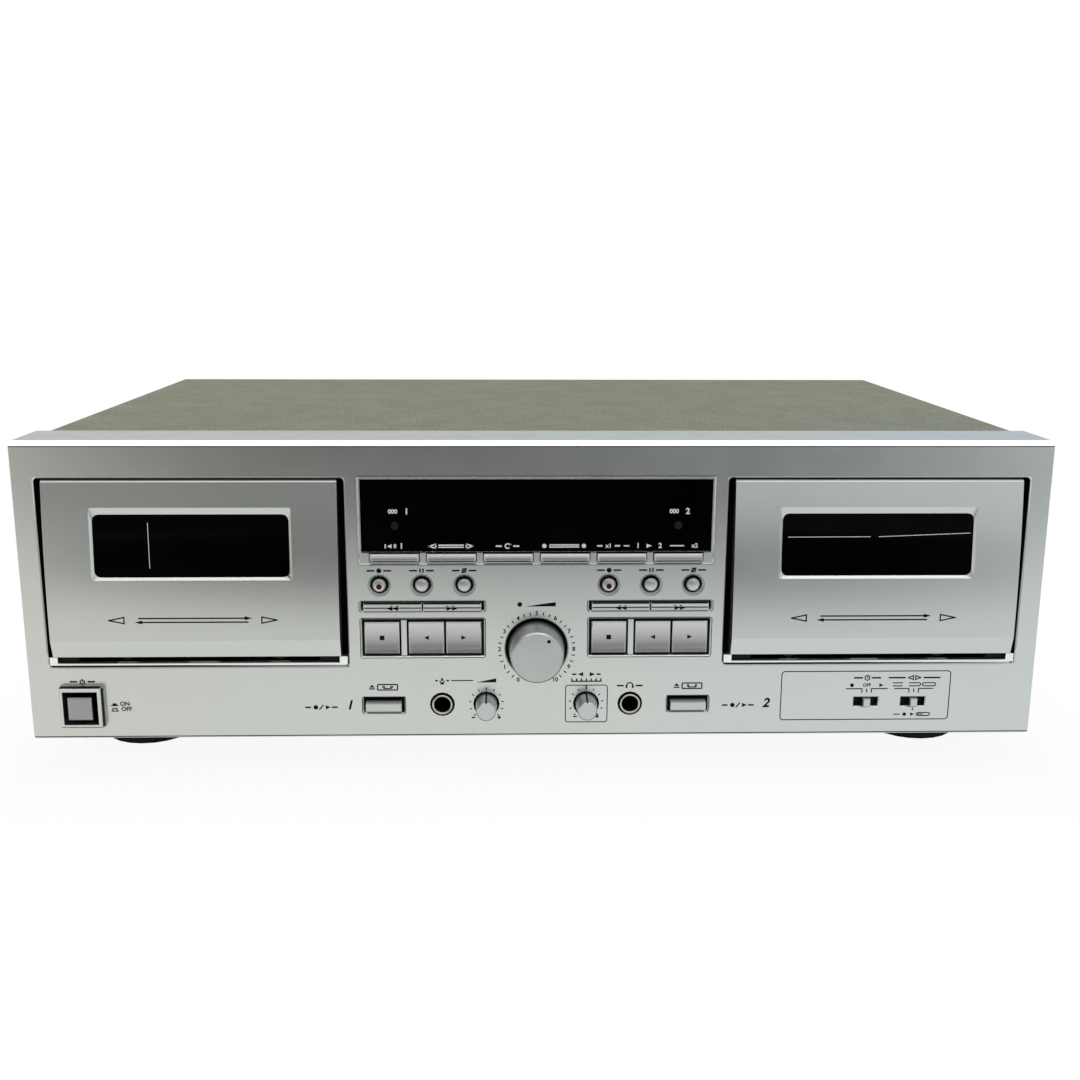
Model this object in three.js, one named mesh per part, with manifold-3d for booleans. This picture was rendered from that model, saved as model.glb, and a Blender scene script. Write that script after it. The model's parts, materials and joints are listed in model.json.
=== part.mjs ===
import * as THREE from "three";
import { mergeVertices } from "three/addons/utils/BufferGeometryUtils.js";
import Module from "manifold-3d";

// A full-width double cassette deck, in millimetres.
// X runs to the right seen from the front, Y to the back and Z up. While it is being built the face
// of the front panel is at y = 0 and its lower edge at z = 0; the whole deck is then moved so that
// it stands on z = 0 with its box centred on the Z axis.

const wasm = await Module();
wasm.setup();

// Clearances and cutting
const clearance = 0.3; // between pieces that touch
const keyGap = 0.4; // round a key in its slot
const cutOver = 1; // how far a cut runs past the face it starts from
const weldDistance = 0.0001; // grid that every point is put on, so that flush faces stay flush

// Front panel moulding
const frontWall = 2.8;
const rimWall = 2.4;
const panelDepth = 30.8;
const topChamfer = 2.1;
const panelCorner = 1;
const edgeChamfer = 0.5; // the bright chamfer round each slot and tray

// Front panel, from the side edge inwards
const sideMargin = 8.4;
const doorOpeningWidth = 128.9;
const middleMargin = 4.9; // door opening to the keys
const trayWidth = 53.2;
const knobWellRadius = 13.4;
const scaleRoom = 8.7; // from the knob's well to the trays

// Front panel, from the lower edge up
const lowerBand = 31.4;
const trayRise = 4.5;
const trayHeight = 17.4;
const trayToSeek = 3.3;
const seekSlotHeight = 4.1;
const seekToRound = 2.6;
const roundBevelRadius = 4.65;
const roundLabelBand = 4.35;
const displayHeight = 37.75;
const topBand = 15.1;

// Cassette doors
const doorSideGap = 3.45;
const doorTopGap = 1.3;
const doorFloorGap = 5.9; // room for the sill under the door
const doorFootHeight = 7.7; // the band under the crease
const creaseProud = 4.2;
const doorFootProud = 2.1;
const doorWall = 2;
const doorBack = 4; // back plane of the door
const doorTopBevel = 0.8;
const openingCorner = 1.5;
const doorWindowWidth = 83.7;
const doorWindowHeight = 30.7;
const doorWindowTopMargin = 11.4;
const windowSideBevel = 1.1;
const windowTopBevel = 3;
const windowFloorBevel = 1.1;
const windowBevelDepth = 1; // pane's face behind the door's
const windowCorner = 2.6;
const windowThickness = 2;
const windowLap = 1.6; // how far the pane laps behind its opening
const doorSteps = 8; // facets up the curved face
const paneSteps = 3;

// Sill under each door
const sillGap = 1; // groove under the sill
const sillEndGap = 0.5;
const grooveDepth = 1.4;
const sillHeight = 0.9;
const sillBevel = 0.25;
const earWidth = 3.4;
const earRise = 2.7; // above the sill's top
const earDepth = 3.6;

// Door hinge pins, turning in the ears of the sill
const pinRadius = 0.8;
const pinDepth = 1.5; // pin axis behind the panel's face
const pinRise = 1.2; // pin axis above the sill's top
const lugHalf = 0.9;

// Cassette holder and the cassette that it takes
const cassetteWidth = 102.4;
const cassetteThickness = 12;
const cassettePlay = 0.6;
const cassetteRise = 4.7; // door's lower edge to the cassette's
const hubSpacing = 42.5;
const hubRise = 35;
const holderSheet = 1.2;
const holderSide = 2;
const holderLedge = 5; // inward length of the ledges under the cassette
const holderLip = 2.6; // inward width of the lips behind the cassette
const holderTopMargin = 2.6;
const holderWindowMargin = 3;

// Tape mechanism behind each door
const wellMargin = 1;
const wellWall = 2;
const wellToPlate = 3.7; // back of the cassette holder to the mechanism's plate
const plateThickness = 2.5;
const capstanRadius = 1;
const capstanSpacing = 66;
const capstanRise = 8.5; // above the cassette's lower edge
const capstanTip = 3; // capstan's end short of the cassette's front
const flywheelRadius = 19;
const flywheelThickness = 7;
const flywheelGap = 3;
const motorRadius = 16;
const motorLength = 27;
const backPlateThickness = 1.6;
const pillarHalf = 3;
const guideRadius = 2;
const guideSpacing = 84;

// Reel spindles
const spindleRadius = 2.9;
const spindleDiscRadius = 8.5;
const spindleDiscThickness = 1.6;
const spindleVane = 1.1; // how far the vanes stand out
const spindleVaneThickness = 1;
const spindleTip = 3;
const spindleAxleRadius = 1.4;
const spindleAxleLength = 4.5;

// Head carriage
const headTravel = 8;
const carriageHalf = 38;
const carriageSheet = 1.5;
const carriageHeight = 7.5;
const headWidth = 15;
const headRest = 0.5; // top of the head under the cassette at rest
const headHeight = 8;
const rollerRadius = 4.5;
const rollerLength = 8;

// Display
const displayRecess = 0.6;
const displayBorder = 1.1;
const displayStrip = 5.5; // band of keys under the display
const displaySet = 0.4; // pane behind the recess floor
const displayPane = 3;
const barPost = 2.6; // between two keys of the strip
const barEnd = 3.2; // strip's end to its first key
const barRise = 3.05; // keys' middle above the display's lower edge
const barHeight = 3.3;
const barProud = 0.8;
const barCount = 6;
const clearRadius = 1.9;
const clearInset = 15.5; // centre from the frame's side
const clearRise = 16.8; // centre above the frame's lower edge
const clearProud = 0.7;

// Round buttons
const roundRadius = 2.9;
const roundHoleRadius = 3.7;
const roundPitch = 18.05;
const roundInset = 8.4; // first centre from the end of the row
const roundBevelDepth = 0.9;
const roundProud = 1.2;
const domeFall = 1.4; // crown of a round button above its edge
const domeRimShare = 0.8; // where the crown turns down

// Keys
const keyBevel = 0.6;
const keyBevelDepth = 0.5;
const keyFlange = 1.2; // how far a key's flange laps behind its slot
const keyFlangeThickness = 1.4;
const keyStemHalf = 1.6;
const keyTravel = 1.5;
const seekProud = 1.5;
const trayDepth = 1.2;
const trayMargin = 1.6;
const trayGap = 4; // from the stop key to the reverse key
const trayRib = 2.3; // rib in that gap
const ribSet = 0.2; // rib's face behind the panel's
const keySplit = 0.9; // between neighbouring keys
const seekEndGap = 1.5;
const seekSlope = 1.2; // how far a seek key's upper part leans back
const seekStep = 0.4; // line across a seek key
const seekFaceShare = 0.5; // its upright lower part
const keyProud = 0.1;
const stopShare = 0.33; // stop key's share of the keys' room

// Level knob
const knobFaceRadius = 11.15;
const knobBaseRadius = 12.3;
const knobProud = 13.5;
const knobChamfer = 0.7;
const wellDepth = 4.2;
const wellBoss = 2.2;
const knobLift = 0.8; // knob's back above the well's floor
const shaftRadius = 3;
const knobDimpleRadius = 0.8;
const knobDimpleDepth = 0.5;
const knobDimpleInset = 2.4;
const knobRest = THREE.MathUtils.degToRad(34);

// Small knobs
const smallKnobX = 21.7;
const smallKnobHole = 5.7;
const smallKnobBase = 5;
const smallKnobFace = 4.15;
const smallKnobProud = 10;
const smallKnobChamfer = 0.4;
const pointerWidth = 0.7;
const pointerDepth = 0.5;

// Sockets for microphone and headphones
const jackStep = 19.1; // from each small knob out to its socket
const jackHoleRadius = 5.4;
const jackRingRadius = 4.45;
const jackBore = 3.5;
const jackBoreDepth = 24;
const jackBody = 13;
const jackProud = 0.6; // ring ahead of the panel's face
const jackChamfer = 0.3;

// Lower row
const lowerRow = 14.5; // height of the row's centre line
const ejectWidth = 18.5;
const ejectHeight = 7.4;
const ejectDrop = 0.3; // recess's middle under the row
const ejectKeyWidth = 15.4;
const ejectKeyHeight = 4.6;
const ejectKeyRise = 1.2; // key's foot above the recess's
const ejectProud = 2.5;
const ejectSlope = 0.9;
const powerInset = 13.8; // centre from the door opening's outer edge
const powerRise = 0.3; // centre above the row
const bezelSize = 17.6;
const bezelProud = 4;
const bezelTaper = 0.5;
const bezelRim = 1.4;
const powerKey = 10.3;
const powerProud = 5;
const powerTravel = 4;
const switchSlotWidth = 11.5;
const switchSlotHeight = 5;
const switchPitch = 20.75;
const switchInset = 43.75; // second switch from the door opening's outer edge
const leverWidth = 3.2;
const leverHeight = 3.7;
const leverProud = 1.8;

// Cover and chassis
const bodyDepth = 267;
const sheet = 1;
const coverSideSet = 4; // cover inside the panel's sides
const coverTopSet = 0.4;
const coverBend = 2;
const chassisSheet = 1.2;
const chassisFlange = 15;
const rearSet = 0.3; // rear panel inside the cover's back edge
const screwRadius = 3.5;
const screwHead = 1.6;
const screwTaperShare = 0.9; // a screw head's face against its foot
const coverScrewShares = [0.12, 0.88]; // along the cover's side
const screwHeightShare = 0.16;
const ventLength = 34;
const ventWidth = 3.2;
const ventPitch = 8;
const ventsPerBank = 7;
// Screws of the rear panel, across and up
const rearScrewShares = [
  [-0.95, 0.9],
  [0, 0.93],
  [0.95, 0.9],
  [-0.95, 0.1],
  [0, 0.08],
  [0.95, 0.1],
];

// Feet
const footHeight = 15;
const footRadius = 23;
const footTaper = 1.8;
const footPad = 1.2;
const footPadRadius = 17;
const footBore = 6;
const footBoreDepth = 9;
const footSideInset = 37.5; // centre from the panel's side
const footFront = 47; // centre behind the panel's face
const footRear = 45; // centre ahead of the back edge

// Rear panel fittings
const socketOuter = 4.15;
const socketBore = 1.65;
const socketLength = 8.5;
const socketPitch = 14;
const socketPlate = 1.2;
const socketPlateMargin = 8;
const socketInset = 92.2; // sockets' middle from the side of the rear panel
const socketZ = 42;
const inletInset = 62.2; // inlet's middle from the side of the rear panel
const inletZ = 38;
const inletWidth = 25;
const inletHeight = 16;
const inletFlange = 2.5;
const inletFlangeThickness = 1.5;
const inletBody = 20;
const inletRecessWidth = 17.5;
const inletRecessHeight = 9.5;
const inletRecessDepth = 12;
const inletPinRadius = 1.15;
const inletPinSpacing = 8.6;
const inletPinLength = 9;

// Circuit boards and transformer
const board = 1.6;
const boardRise = 9;
const boardFront = 95;
const boardRearGap = 18;
const boardInset = 22.2; // main board from the chassis's side
const boardToTransformer = 18;
const uprightDepth = 16; // front of the upright board behind the panel's face
const uprightMargin = 3.4;
const tongueHalf = 30;
const potHalf = 7;
const standoffHalf = 3.5;
const transformerInset = 22.2; // tabs from the chassis's side
const transformerRearGap = 33.5;
const coreWidth = 62;
const coreDepth = 38;
const coreHeight = 52;
const coilOver = 8;
const coilInset = 9;
const tabLength = 9;
const tabThickness = 1.6;
// Capacitors: place across and along the board, then radius and height against the board's rise
const capacitorShares = [
  [0.38, 0.3, 1.1, 3.6],
  [0.38, 0.6, 1.1, 3.6],
  [0.18, 0.8, 0.8, 2.4],
  [-0.1, 0.75, 0.6, 1.6],
];
// Chips: place across and along the board
const chipShares = [
  [-0.75, 0.3],
  [-0.4, 0.3],
  [-0.75, 0.6],
  [-0.1, 0.25],
];

// Facets
const roundSides = 16;
const knobSides = 48;
const smallSides = 22;
const innerSides = 12;
const pinSides = 8;
const cornerSteps = 3;

// Sizes worked out from the ones above, across the panel
const middleHalf = scaleRoom + knobWellRadius + trayWidth;
const doorInner = middleHalf + middleMargin;
const doorX = doorInner + doorOpeningWidth / 2;
const doorOuter = doorInner + doorOpeningWidth;
const panelHalf = doorOuter + sideMargin;
const trayInner = middleHalf - trayWidth;

// and up the panel
const trayBottom = lowerBand + trayRise;
const trayTop = trayBottom + trayHeight;
const seekBottom = trayTop + trayToSeek;
const seekTop = seekBottom + seekSlotHeight;
const roundZ = seekTop + seekToRound + roundBevelRadius;
const displayBottom = roundZ + roundBevelRadius + roundLabelBand;
const displayTop = displayBottom + displayHeight;
const panelHeight = displayTop + topBand;
const knobZ = trayTop - knobWellRadius - edgeChamfer / 2;
const doorTop = displayTop - doorTopGap;
const doorBottom = lowerBand + doorFloorGap;
const crease = doorBottom + doorFootHeight;
const openingHalf = doorOpeningWidth / 2 - edgeChamfer; // inside the chamfer
const doorHalf = doorOpeningWidth / 2 - doorSideGap;
const windowTop = doorTop - doorWindowTopMargin;
const windowBottom = windowTop - doorWindowHeight;
const sillFoot = lowerBand + edgeChamfer + sillGap;
const sillTop = sillFoot + sillHeight;
const sillHalf = openingHalf - sillEndGap;
const pinZ = sillTop + pinRise;

// and from the face back
const wallBack = frontWall + clearance;
const holderFront = doorBack + clearance;
const pocketFront = holderFront + holderSheet;
const pocketBack = pocketFront + cassetteThickness + cassettePlay;
const holderBack = pocketBack + holderSheet;
const plateFront = holderBack + wellToPlate;
const plateBack = plateFront + plateThickness;
const cassetteBottom = doorBottom + cassetteRise;
const pocketHalf = (cassetteWidth + cassettePlay) / 2;
const hubZ = cassetteBottom + hubRise;
const capstanZ = cassetteBottom + capstanRise;
const bodyFront = panelDepth + clearance;
const rearBack = bodyDepth - rearSet;
const rearFront = rearBack - chassisSheet;
const coverHalf = panelHalf - coverSideSet;
const insideHalf = coverHalf - sheet - clearance;
const coverTop = panelHeight - coverTopSet;
const floorTop = clearance + chassisSheet;
const boardBottom = floorTop + boardRise;
const stemBack = uprightDepth - board - keyTravel - clearance;
const socketX = insideHalf - socketInset;
const inletX = inletInset - insideHalf;
const transformerX = insideHalf - transformerInset - tabLength - coreWidth / 2;
const transformerY = rearFront - transformerRearGap - coilOver - coreDepth / 2;
const boardLeft = insideHalf - boardInset;
const boardRight = transformerX - coreWidth / 2 - tabLength - boardToTransformer;

// Materials
const finish = (color, roughness, metalness = 0) =>
  new THREE.MeshStandardMaterial({ color, roughness, metalness });
const silver = finish(0xb4b7b2, 0.42, 0.55);
const brightSilver = finish(0xc6c9c6, 0.3, 0.7);
const blackPlastic = finish(0x17181a, 0.55);
const smokedPane = finish(0x070708, 0.08);
const coverPaint = finish(0x6f6f64, 0.6, 0.2);
const zincSteel = finish(0xa8aaa6, 0.4, 0.8);
const rubberFoot = finish(0x2a2b2c, 0.8);
const boardGreen = finish(0x4c6a3a, 0.6);
const coreSteel = finish(0x5b5d60, 0.5, 0.6);

// A geometry as a solid that can be joined and cut.
function solid(geometry) {
  const bare = new THREE.BufferGeometry();
  const places = geometry.getAttribute("position").array;
  const onGrid = places.map((v) => Math.round(v / weldDistance) * weldDistance);
  bare.setAttribute("position", new THREE.BufferAttribute(onGrid, 3));
  if (geometry.index) bare.setIndex(geometry.index);
  const merged = mergeVertices(bare, weldDistance);
  const corner = merged.index.array;
  const triVerts = [];
  for (let i = 0; i < corner.length; i += 3) {
    const [a, b, c] = corner.slice(i, i + 3);
    if (a !== b && b !== c && c !== a) triVerts.push(a, b, c);
  }
  const made = new wasm.Manifold(
    new wasm.Mesh({
      numProp: 3,
      vertProperties: merged.attributes.position.array,
      triVerts: new Uint32Array(triVerts),
    }),
  );
  if (made.volume() > 0) return made;
  return new wasm.Manifold(
    new wasm.Mesh({
      numProp: 3,
      vertProperties: merged.attributes.position.array,
      triVerts: new Uint32Array(triVerts.reverse()),
    }),
  );
}

const join = (first, ...rest) => rest.reduce((all, one) => all.add(one), first);
const cut = (first, ...rest) => rest.reduce((all, one) => all.subtract(one), first);

// A block between pairs of x, y and z.
function block([x0, x1], [y0, y1], [z0, z1]) {
  const box = new THREE.BoxGeometry(x1 - x0, y1 - y0, z1 - z0);
  box.translate((x0 + x1) / 2, (y0 + y1) / 2, (z0 + z1) / 2);
  return solid(box);
}

// Half widths on both sides of a middle.
const about = (middle, half) => [middle - half, middle + half];

// Outline points of a rectangle, with round corners where a radius is given.
function outline([u0, u1], [v0, v1], radius = 0) {
  if (!radius) {
    return [
      [u0, v0],
      [u1, v0],
      [u1, v1],
      [u0, v1],
    ].map(([u, v]) => new THREE.Vector2(u, v));
  }
  const corners = [
    [u1 - radius, v0 + radius, -Math.PI / 2],
    [u1 - radius, v1 - radius, 0],
    [u0 + radius, v1 - radius, Math.PI / 2],
    [u0 + radius, v0 + radius, Math.PI],
  ];
  const points = [];
  for (const [u, v, start] of corners) {
    for (let i = 0; i <= cornerSteps; i++) {
      const turn = start + ((Math.PI / 2) * i) / cornerSteps;
      points.push(new THREE.Vector2(u + radius * Math.cos(turn), v + radius * Math.sin(turn)));
    }
  }
  return points;
}

// An outline in x and z, run from y0 back to y1.
function slab(points, [y0, y1]) {
  const run = new THREE.ExtrudeGeometry(new THREE.Shape(points), {
    depth: y1 - y0,
    bevelEnabled: false,
  });
  run.rotateX(Math.PI / 2);
  run.translate(0, y1, 0);
  return solid(run);
}

// A profile of [y, z] pairs, run from x0 to x1.
function bar(profile, [x0, x1]) {
  const run = new THREE.ExtrudeGeometry(
    new THREE.Shape(profile.map(([y, z]) => new THREE.Vector2(y, z))),
    { depth: x1 - x0, bevelEnabled: false },
  );
  run.rotateX(Math.PI / 2);
  run.rotateZ(Math.PI / 2);
  run.translate(x0, 0, 0);
  return solid(run);
}

// Rings of as many points each, joined in order and closed by a fan at both ends.
function loft(rings) {
  const count = rings[0].length;
  const points = rings.flat().flatMap((p) => [p.x, p.y, p.z]);
  const faces = [];
  for (let r = 0; r + 1 < rings.length; r++) {
    for (let i = 0; i < count; i++) {
      const a = r * count + i;
      const b = r * count + ((i + 1) % count);
      faces.push(a, b, b + count, a, b + count, a + count);
    }
  }
  const last = (rings.length - 1) * count;
  for (let i = 1; i + 1 < count; i++) {
    faces.push(0, i + 1, i);
    faces.push(last, last + i, last + i + 1);
  }
  const made = new THREE.BufferGeometry();
  made.setAttribute("position", new THREE.Float32BufferAttribute(points, 3));
  made.setIndex(faces);
  return solid(made);
}

// An x and z outline set at a depth, which may follow the height.
function ring(points, depth) {
  const at = typeof depth === "function" ? depth : () => depth;
  return points.map((p) => new THREE.Vector3(p.x, at(p.y), p.y));
}

// A block whose front edges are bevelled all round.
function cap([x0, x1], [z0, z1], front, back, bevel, bevelDepth) {
  const inner = outline([x0 + bevel, x1 - bevel], [z0 + bevel, z1 - bevel]);
  const full = outline([x0, x1], [z0, z1]);
  return loft([ring(inner, front), ring(full, front + bevelDepth), ring(full, back)]);
}

// A cutter whose mouth at the panel's face is chamfered all round.
function mouth([x0, x1], [z0, z1], back, radius = 0) {
  const c = edgeChamfer;
  const wide = outline(outside([x0, x1], c + cutOver), outside([z0, z1], c + cutOver), radius);
  const through = outline([x0, x1], [z0, z1], radius);
  return loft([ring(wide, -cutOver), ring(through, c), ring(through, back)]);
}

// A profile of [radius, y] pairs turned about an axis along y.
function turned(profile, x, z, sides = roundSides) {
  const made = new THREE.LatheGeometry(
    profile.map(([r, y]) => new THREE.Vector2(r, y)),
    sides,
  );
  made.translate(x, 0, z);
  return solid(made);
}

const rod = (radius, [y0, y1], x, z, sides = roundSides) =>
  turned([[0, y0], [radius, y0], [radius, y1], [0, y1]], x, z, sides);

// A rod along x.
function pin(radius, [x0, x1], y, z) {
  const made = new THREE.CylinderGeometry(radius, radius, x1 - x0, pinSides);
  made.rotateZ(Math.PI / 2);
  made.translate((x0 + x1) / 2, y, z);
  return solid(made);
}

const deck = new THREE.Group();

// Adds a named node from a solid.
function add(name, made, material) {
  const built = made.getMesh();
  const geometry = new THREE.BufferGeometry();
  geometry.setAttribute("position", new THREE.BufferAttribute(built.vertProperties, built.numProp));
  geometry.setIndex(new THREE.BufferAttribute(built.triVerts, 1));
  geometry.computeVertexNormals();
  const mesh = new THREE.Mesh(geometry, material);
  mesh.name = name;
  deck.add(mesh);
}

const sides = [
  { name: "left", sign: -1 },
  { name: "right", sign: 1 },
];
// A pair of x values, mirrored for the left side and put in rising order.
const mirrored = (sign, [x0, x1]) => (sign > 0 ? [x0, x1] : [-x1, -x0]);
// A pair of values drawn in or spread out by the same amount at both ends
const inside = ([a, b], by) => [a + by, b - by];
const outside = ([a, b], by) => [a - by, b + by];

// Rows of keys, shared by the panel's slots, the keys and the switches behind them
const barsHalf = middleHalf - displayBorder - barEnd;
const barPitch = (2 * barsHalf + barPost) / barCount;
const barZ = displayBottom + barRise;
const bars = Array.from({ length: barCount }, (_, i) => {
  const middle = -barsHalf + (i + 0.5) * barPitch - barPost / 2;
  return about(middle, (barPitch - barPost) / 2);
});
const barSlot = about(barZ, barHeight / 2 + keyGap);
const clearXs = [-middleHalf + clearInset, middleHalf - clearInset];
const clearZ = displayBottom + clearRise;

const roundXs = (sign) =>
  [0, 1, 2].map((i) =>
    mirrored(sign, [middleHalf - roundInset - 2 * roundPitch, middleHalf - roundInset])[0] + i * roundPitch,
  );

// Key spans along a tray, from its left edge: stop, then the rib, reverse and play.
function trayKeys(sign) {
  const [x0, x1] = mirrored(sign, [trayInner, middleHalf]);
  const left = x0 + trayMargin;
  const right = x1 - trayMargin;
  const room = right - left - trayGap - keySplit;
  const stopEnd = left + room * stopShare;
  const reverseStart = stopEnd + trayGap;
  const half = (right - reverseStart - keySplit) / 2;
  return {
    stop: [left, stopEnd],
    reverse: [reverseStart, reverseStart + half],
    play: [right - half, right],
  };
}
const trayZ = [trayBottom + trayMargin, trayTop - trayMargin];

function seekKeys(sign) {
  const [x0, x1] = mirrored(sign, [trayInner, middleHalf]);
  const middle = (x0 + x1) / 2;
  return {
    rewind: [x0 + seekEndGap, middle - keySplit / 3],
    fast_forward: [middle + keySplit / 3, x1 - seekEndGap],
  };
}
const seekZ = [seekBottom + keyGap, seekTop - keyGap];

const ejectX = (sign) => mirrored(sign, [middleHalf - ejectWidth, middleHalf]);
const ejectZ = about(lowerRow - ejectDrop, ejectHeight / 2);
const powerX = -doorOuter + powerInset;
const powerZ = lowerRow + powerRise;
const switchXs = [doorOuter - switchInset - switchPitch, doorOuter - switchInset];
const jackXs = { microphone: -smallKnobX - jackStep, headphone: smallKnobX + jackStep };

// Depth of the door's face at a height: a shallow arc from the flush top edge to the upright crease.
function doorFace(z) {
  const drop = (doorTop - z) / (doorTop - crease);
  return -creaseProud * (1 - (1 - drop) ** 2);
}

// Outline of a door's side, from the back plane's foot round the face; inset gives the hollow inside.
function doorProfile(inset) {
  const top = doorTop - inset;
  const bottom = doorBottom + inset;
  const points = [[inset ? doorBack + cutOver : doorBack, bottom]];
  points.push([-doorFootProud + inset, bottom]);
  for (let i = 0; i <= doorSteps; i++) {
    const z = crease + ((top - doorTopBevel - crease) * i) / doorSteps;
    points.push([doorFace(z) + inset, z]);
  }
  points.push([doorFace(top) + doorTopBevel + inset, top]);
  points.push([inset ? doorBack + cutOver : doorBack, top]);
  return points;
}

// The silver front: a moulded tray with every opening, the sills, the display frame and the power bezel.
function frontPanel() {
  const body = slab(outline(about(0, panelHalf), [0, panelHeight], panelCorner), [0, panelDepth]);
  const hollow = block(
    about(0, panelHalf - rimWall),
    [frontWall, panelDepth + cutOver],
    [rimWall, panelHeight - rimWall],
  );
  const edge = topChamfer + cutOver;
  const chamfer = bar(
    [
      [-cutOver, panelHeight - edge],
      [edge, panelHeight + cutOver],
      [-cutOver, panelHeight + cutOver],
    ],
    about(0, panelHalf + cutOver),
  );
  const bossDepths = [frontWall - cutOver / 2, wellDepth + wellBoss];
  const boss = rod(knobWellRadius + wellBoss, bossDepths, 0, knobZ);
  let panel = join(cut(body, hollow, chamfer), boss);
  for (const { sign } of sides) panel = cut(panel, ...sideCuts(sign));
  panel = cut(panel, ...middleCuts());
  for (const { sign } of sides) panel = join(panel, sill(sign), trayPost(sign));
  return cut(join(panel, powerBezel()), powerOpening());
}

function sideCuts(sign) {
  const back = frontWall + cutOver;
  const doorZ = inside([lowerBand, displayTop], edgeChamfer);
  const cuts = [mouth(about(sign * doorX, openingHalf), doorZ, back, openingCorner)];
  for (const x of roundXs(sign)) {
    cuts.push(
      turned(
        [
          [0, -cutOver],
          [roundBevelRadius, -cutOver],
          [roundBevelRadius, 0],
          [roundHoleRadius, roundBevelDepth],
          [roundHoleRadius, back],
          [0, back],
        ],
        x,
        roundZ,
      ),
    );
  }
  const trayX = mirrored(sign, [trayInner, middleHalf]);
  cuts.push(mouth(inside(trayX, edgeChamfer), [seekBottom, seekTop], back));
  cuts.push(mouth(inside(trayX, edgeChamfer), inside([trayBottom, trayTop], edgeChamfer), trayDepth));
  for (const span of Object.values(trayKeys(sign))) {
    cuts.push(block(outside(span, keyGap), [-cutOver, back], outside(trayZ, keyGap)));
  }
  cuts.push(mouth(inside(ejectX(sign), edgeChamfer), inside(ejectZ, edgeChamfer / 2), back));
  return cuts;
}

function middleCuts() {
  const back = frontWall + cutOver;
  const c = edgeChamfer;
  const display = [displayBottom, displayTop];
  const wide = outline(about(0, middleHalf + cutOver), outside(display, cutOver));
  const floor = outline(about(0, middleHalf - c), inside(display, c));
  const cuts = [
    loft([ring(wide, -cutOver), ring(floor, displayRecess)]),
    block(about(0, middleHalf - displayBorder), [-cutOver, back], displayOpening()),
  ];
  for (const span of bars) cuts.push(block(span, [-cutOver, back], barSlot));
  cuts.push(
    turned(
      [
        [0, -cutOver],
        [knobWellRadius + c + cutOver, -cutOver],
        [knobWellRadius, c],
        [knobWellRadius, wellDepth],
        [0, wellDepth],
      ],
      0,
      knobZ,
      knobSides,
    ),
    rod(shaftRadius + clearance, [-cutOver, wellDepth + wellBoss + cutOver], 0, knobZ),
  );
  for (const x of [-smallKnobX, smallKnobX]) {
    cuts.push(rod(smallKnobHole, [-cutOver, back], x, lowerRow));
  }
  for (const x of Object.values(jackXs)) {
    cuts.push(rod(jackHoleRadius, [-cutOver, back], x, lowerRow));
  }
  for (const x of switchXs) {
    cuts.push(mouth(about(x, switchSlotWidth / 2 - c), about(lowerRow, switchSlotHeight / 2 - c), back));
  }
  return cuts;
}

function displayOpening() {
  return [displayBottom + displayStrip, displayTop - displayBorder];
}

// The bar under a door, set off by a groove, with an ear at each end for the door's hinge pin.
function sill(sign) {
  const x = sign * doorX;
  const rail = bar(
    [
      [0, sillFoot],
      [grooveDepth, sillFoot],
      [grooveDepth, lowerBand],
      [frontWall, lowerBand],
      [frontWall, sillTop],
      [sillBevel, sillTop],
      [0, sillTop - sillBevel],
    ],
    about(x, sillHalf),
  );
  const ears = [-1, 1].map((end) => {
    const span = mirrored(end, [sillHalf - earWidth, sillHalf]).map((v) => x + v);
    const ear = block(span, [0, earDepth], [sillTop - sillHeight / 2, sillTop + earRise]);
    return cut(ear, pin(pinRadius + clearance, outside(span, cutOver), pinDepth, pinZ));
  });
  return join(rail, ...ears);
}

// The rib between the stop key and the reverse key
function trayPost(sign) {
  const { stop, reverse } = trayKeys(sign);
  const middle = (stop[1] + reverse[0]) / 2;
  return block(about(middle, trayRib / 2), [ribSet, frontWall], outside(trayZ, trayMargin / 2));
}

// A raised square collar with a tapered outside.
function powerBezel() {
  const half = bezelSize / 2;
  const foot = outline(about(powerX, half + bezelTaper), about(powerZ, half + bezelTaper));
  const inner = outline(about(powerX, half - edgeChamfer), about(powerZ, half - edgeChamfer));
  const face = outline(about(powerX, half), about(powerZ, half));
  const front = [ring(inner, -bezelProud), ring(face, -bezelProud + edgeChamfer)];
  return loft([...front, ring(foot, 0), ring(foot, cutOver / 2)]);
}

function powerOpening() {
  const half = bezelSize / 2 - bezelRim;
  return block(about(powerX, half), [-bezelProud - cutOver, frontWall + cutOver], about(powerZ, half));
}

// The smoked pane over the display, with a hole for each clear button.
function displayPaneNode() {
  const front = displayRecess + displaySet;
  const [z0, z1] = displayOpening();
  const half = middleHalf - displayBorder;
  const pane = block(about(0, half - clearance), [front, wallBack + clearance], inside([z0, z1], clearance));
  const flange = block(
    about(0, half + displayBorder),
    [wallBack, wallBack + displayPane / 2],
    [z0 + clearance, z1 + displayBorder],
  );
  const depths = [-cutOver, wallBack + displayPane];
  const holes = clearXs.map((x) => rod(clearRadius + keyGap, depths, x, clearZ));
  return cut(join(pane, flange), ...holes);
}

// A key with bevelled front edges, a flange that stops it behind the wall and a stem to its switch.
function key(spanX, spanZ, proud, lapUp = keyFlange) {
  const back = wallBack + keyFlangeThickness;
  const made = cap(spanX, spanZ, -proud, back, keyBevel, keyBevelDepth);
  const flange = block(spanX, [wallBack, back], [spanZ[0] - keyFlange, spanZ[1] + lapUp]);
  return join(made, flange, stem((spanX[0] + spanX[1]) / 2, (spanZ[0] + spanZ[1]) / 2, wallBack));
}

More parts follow.
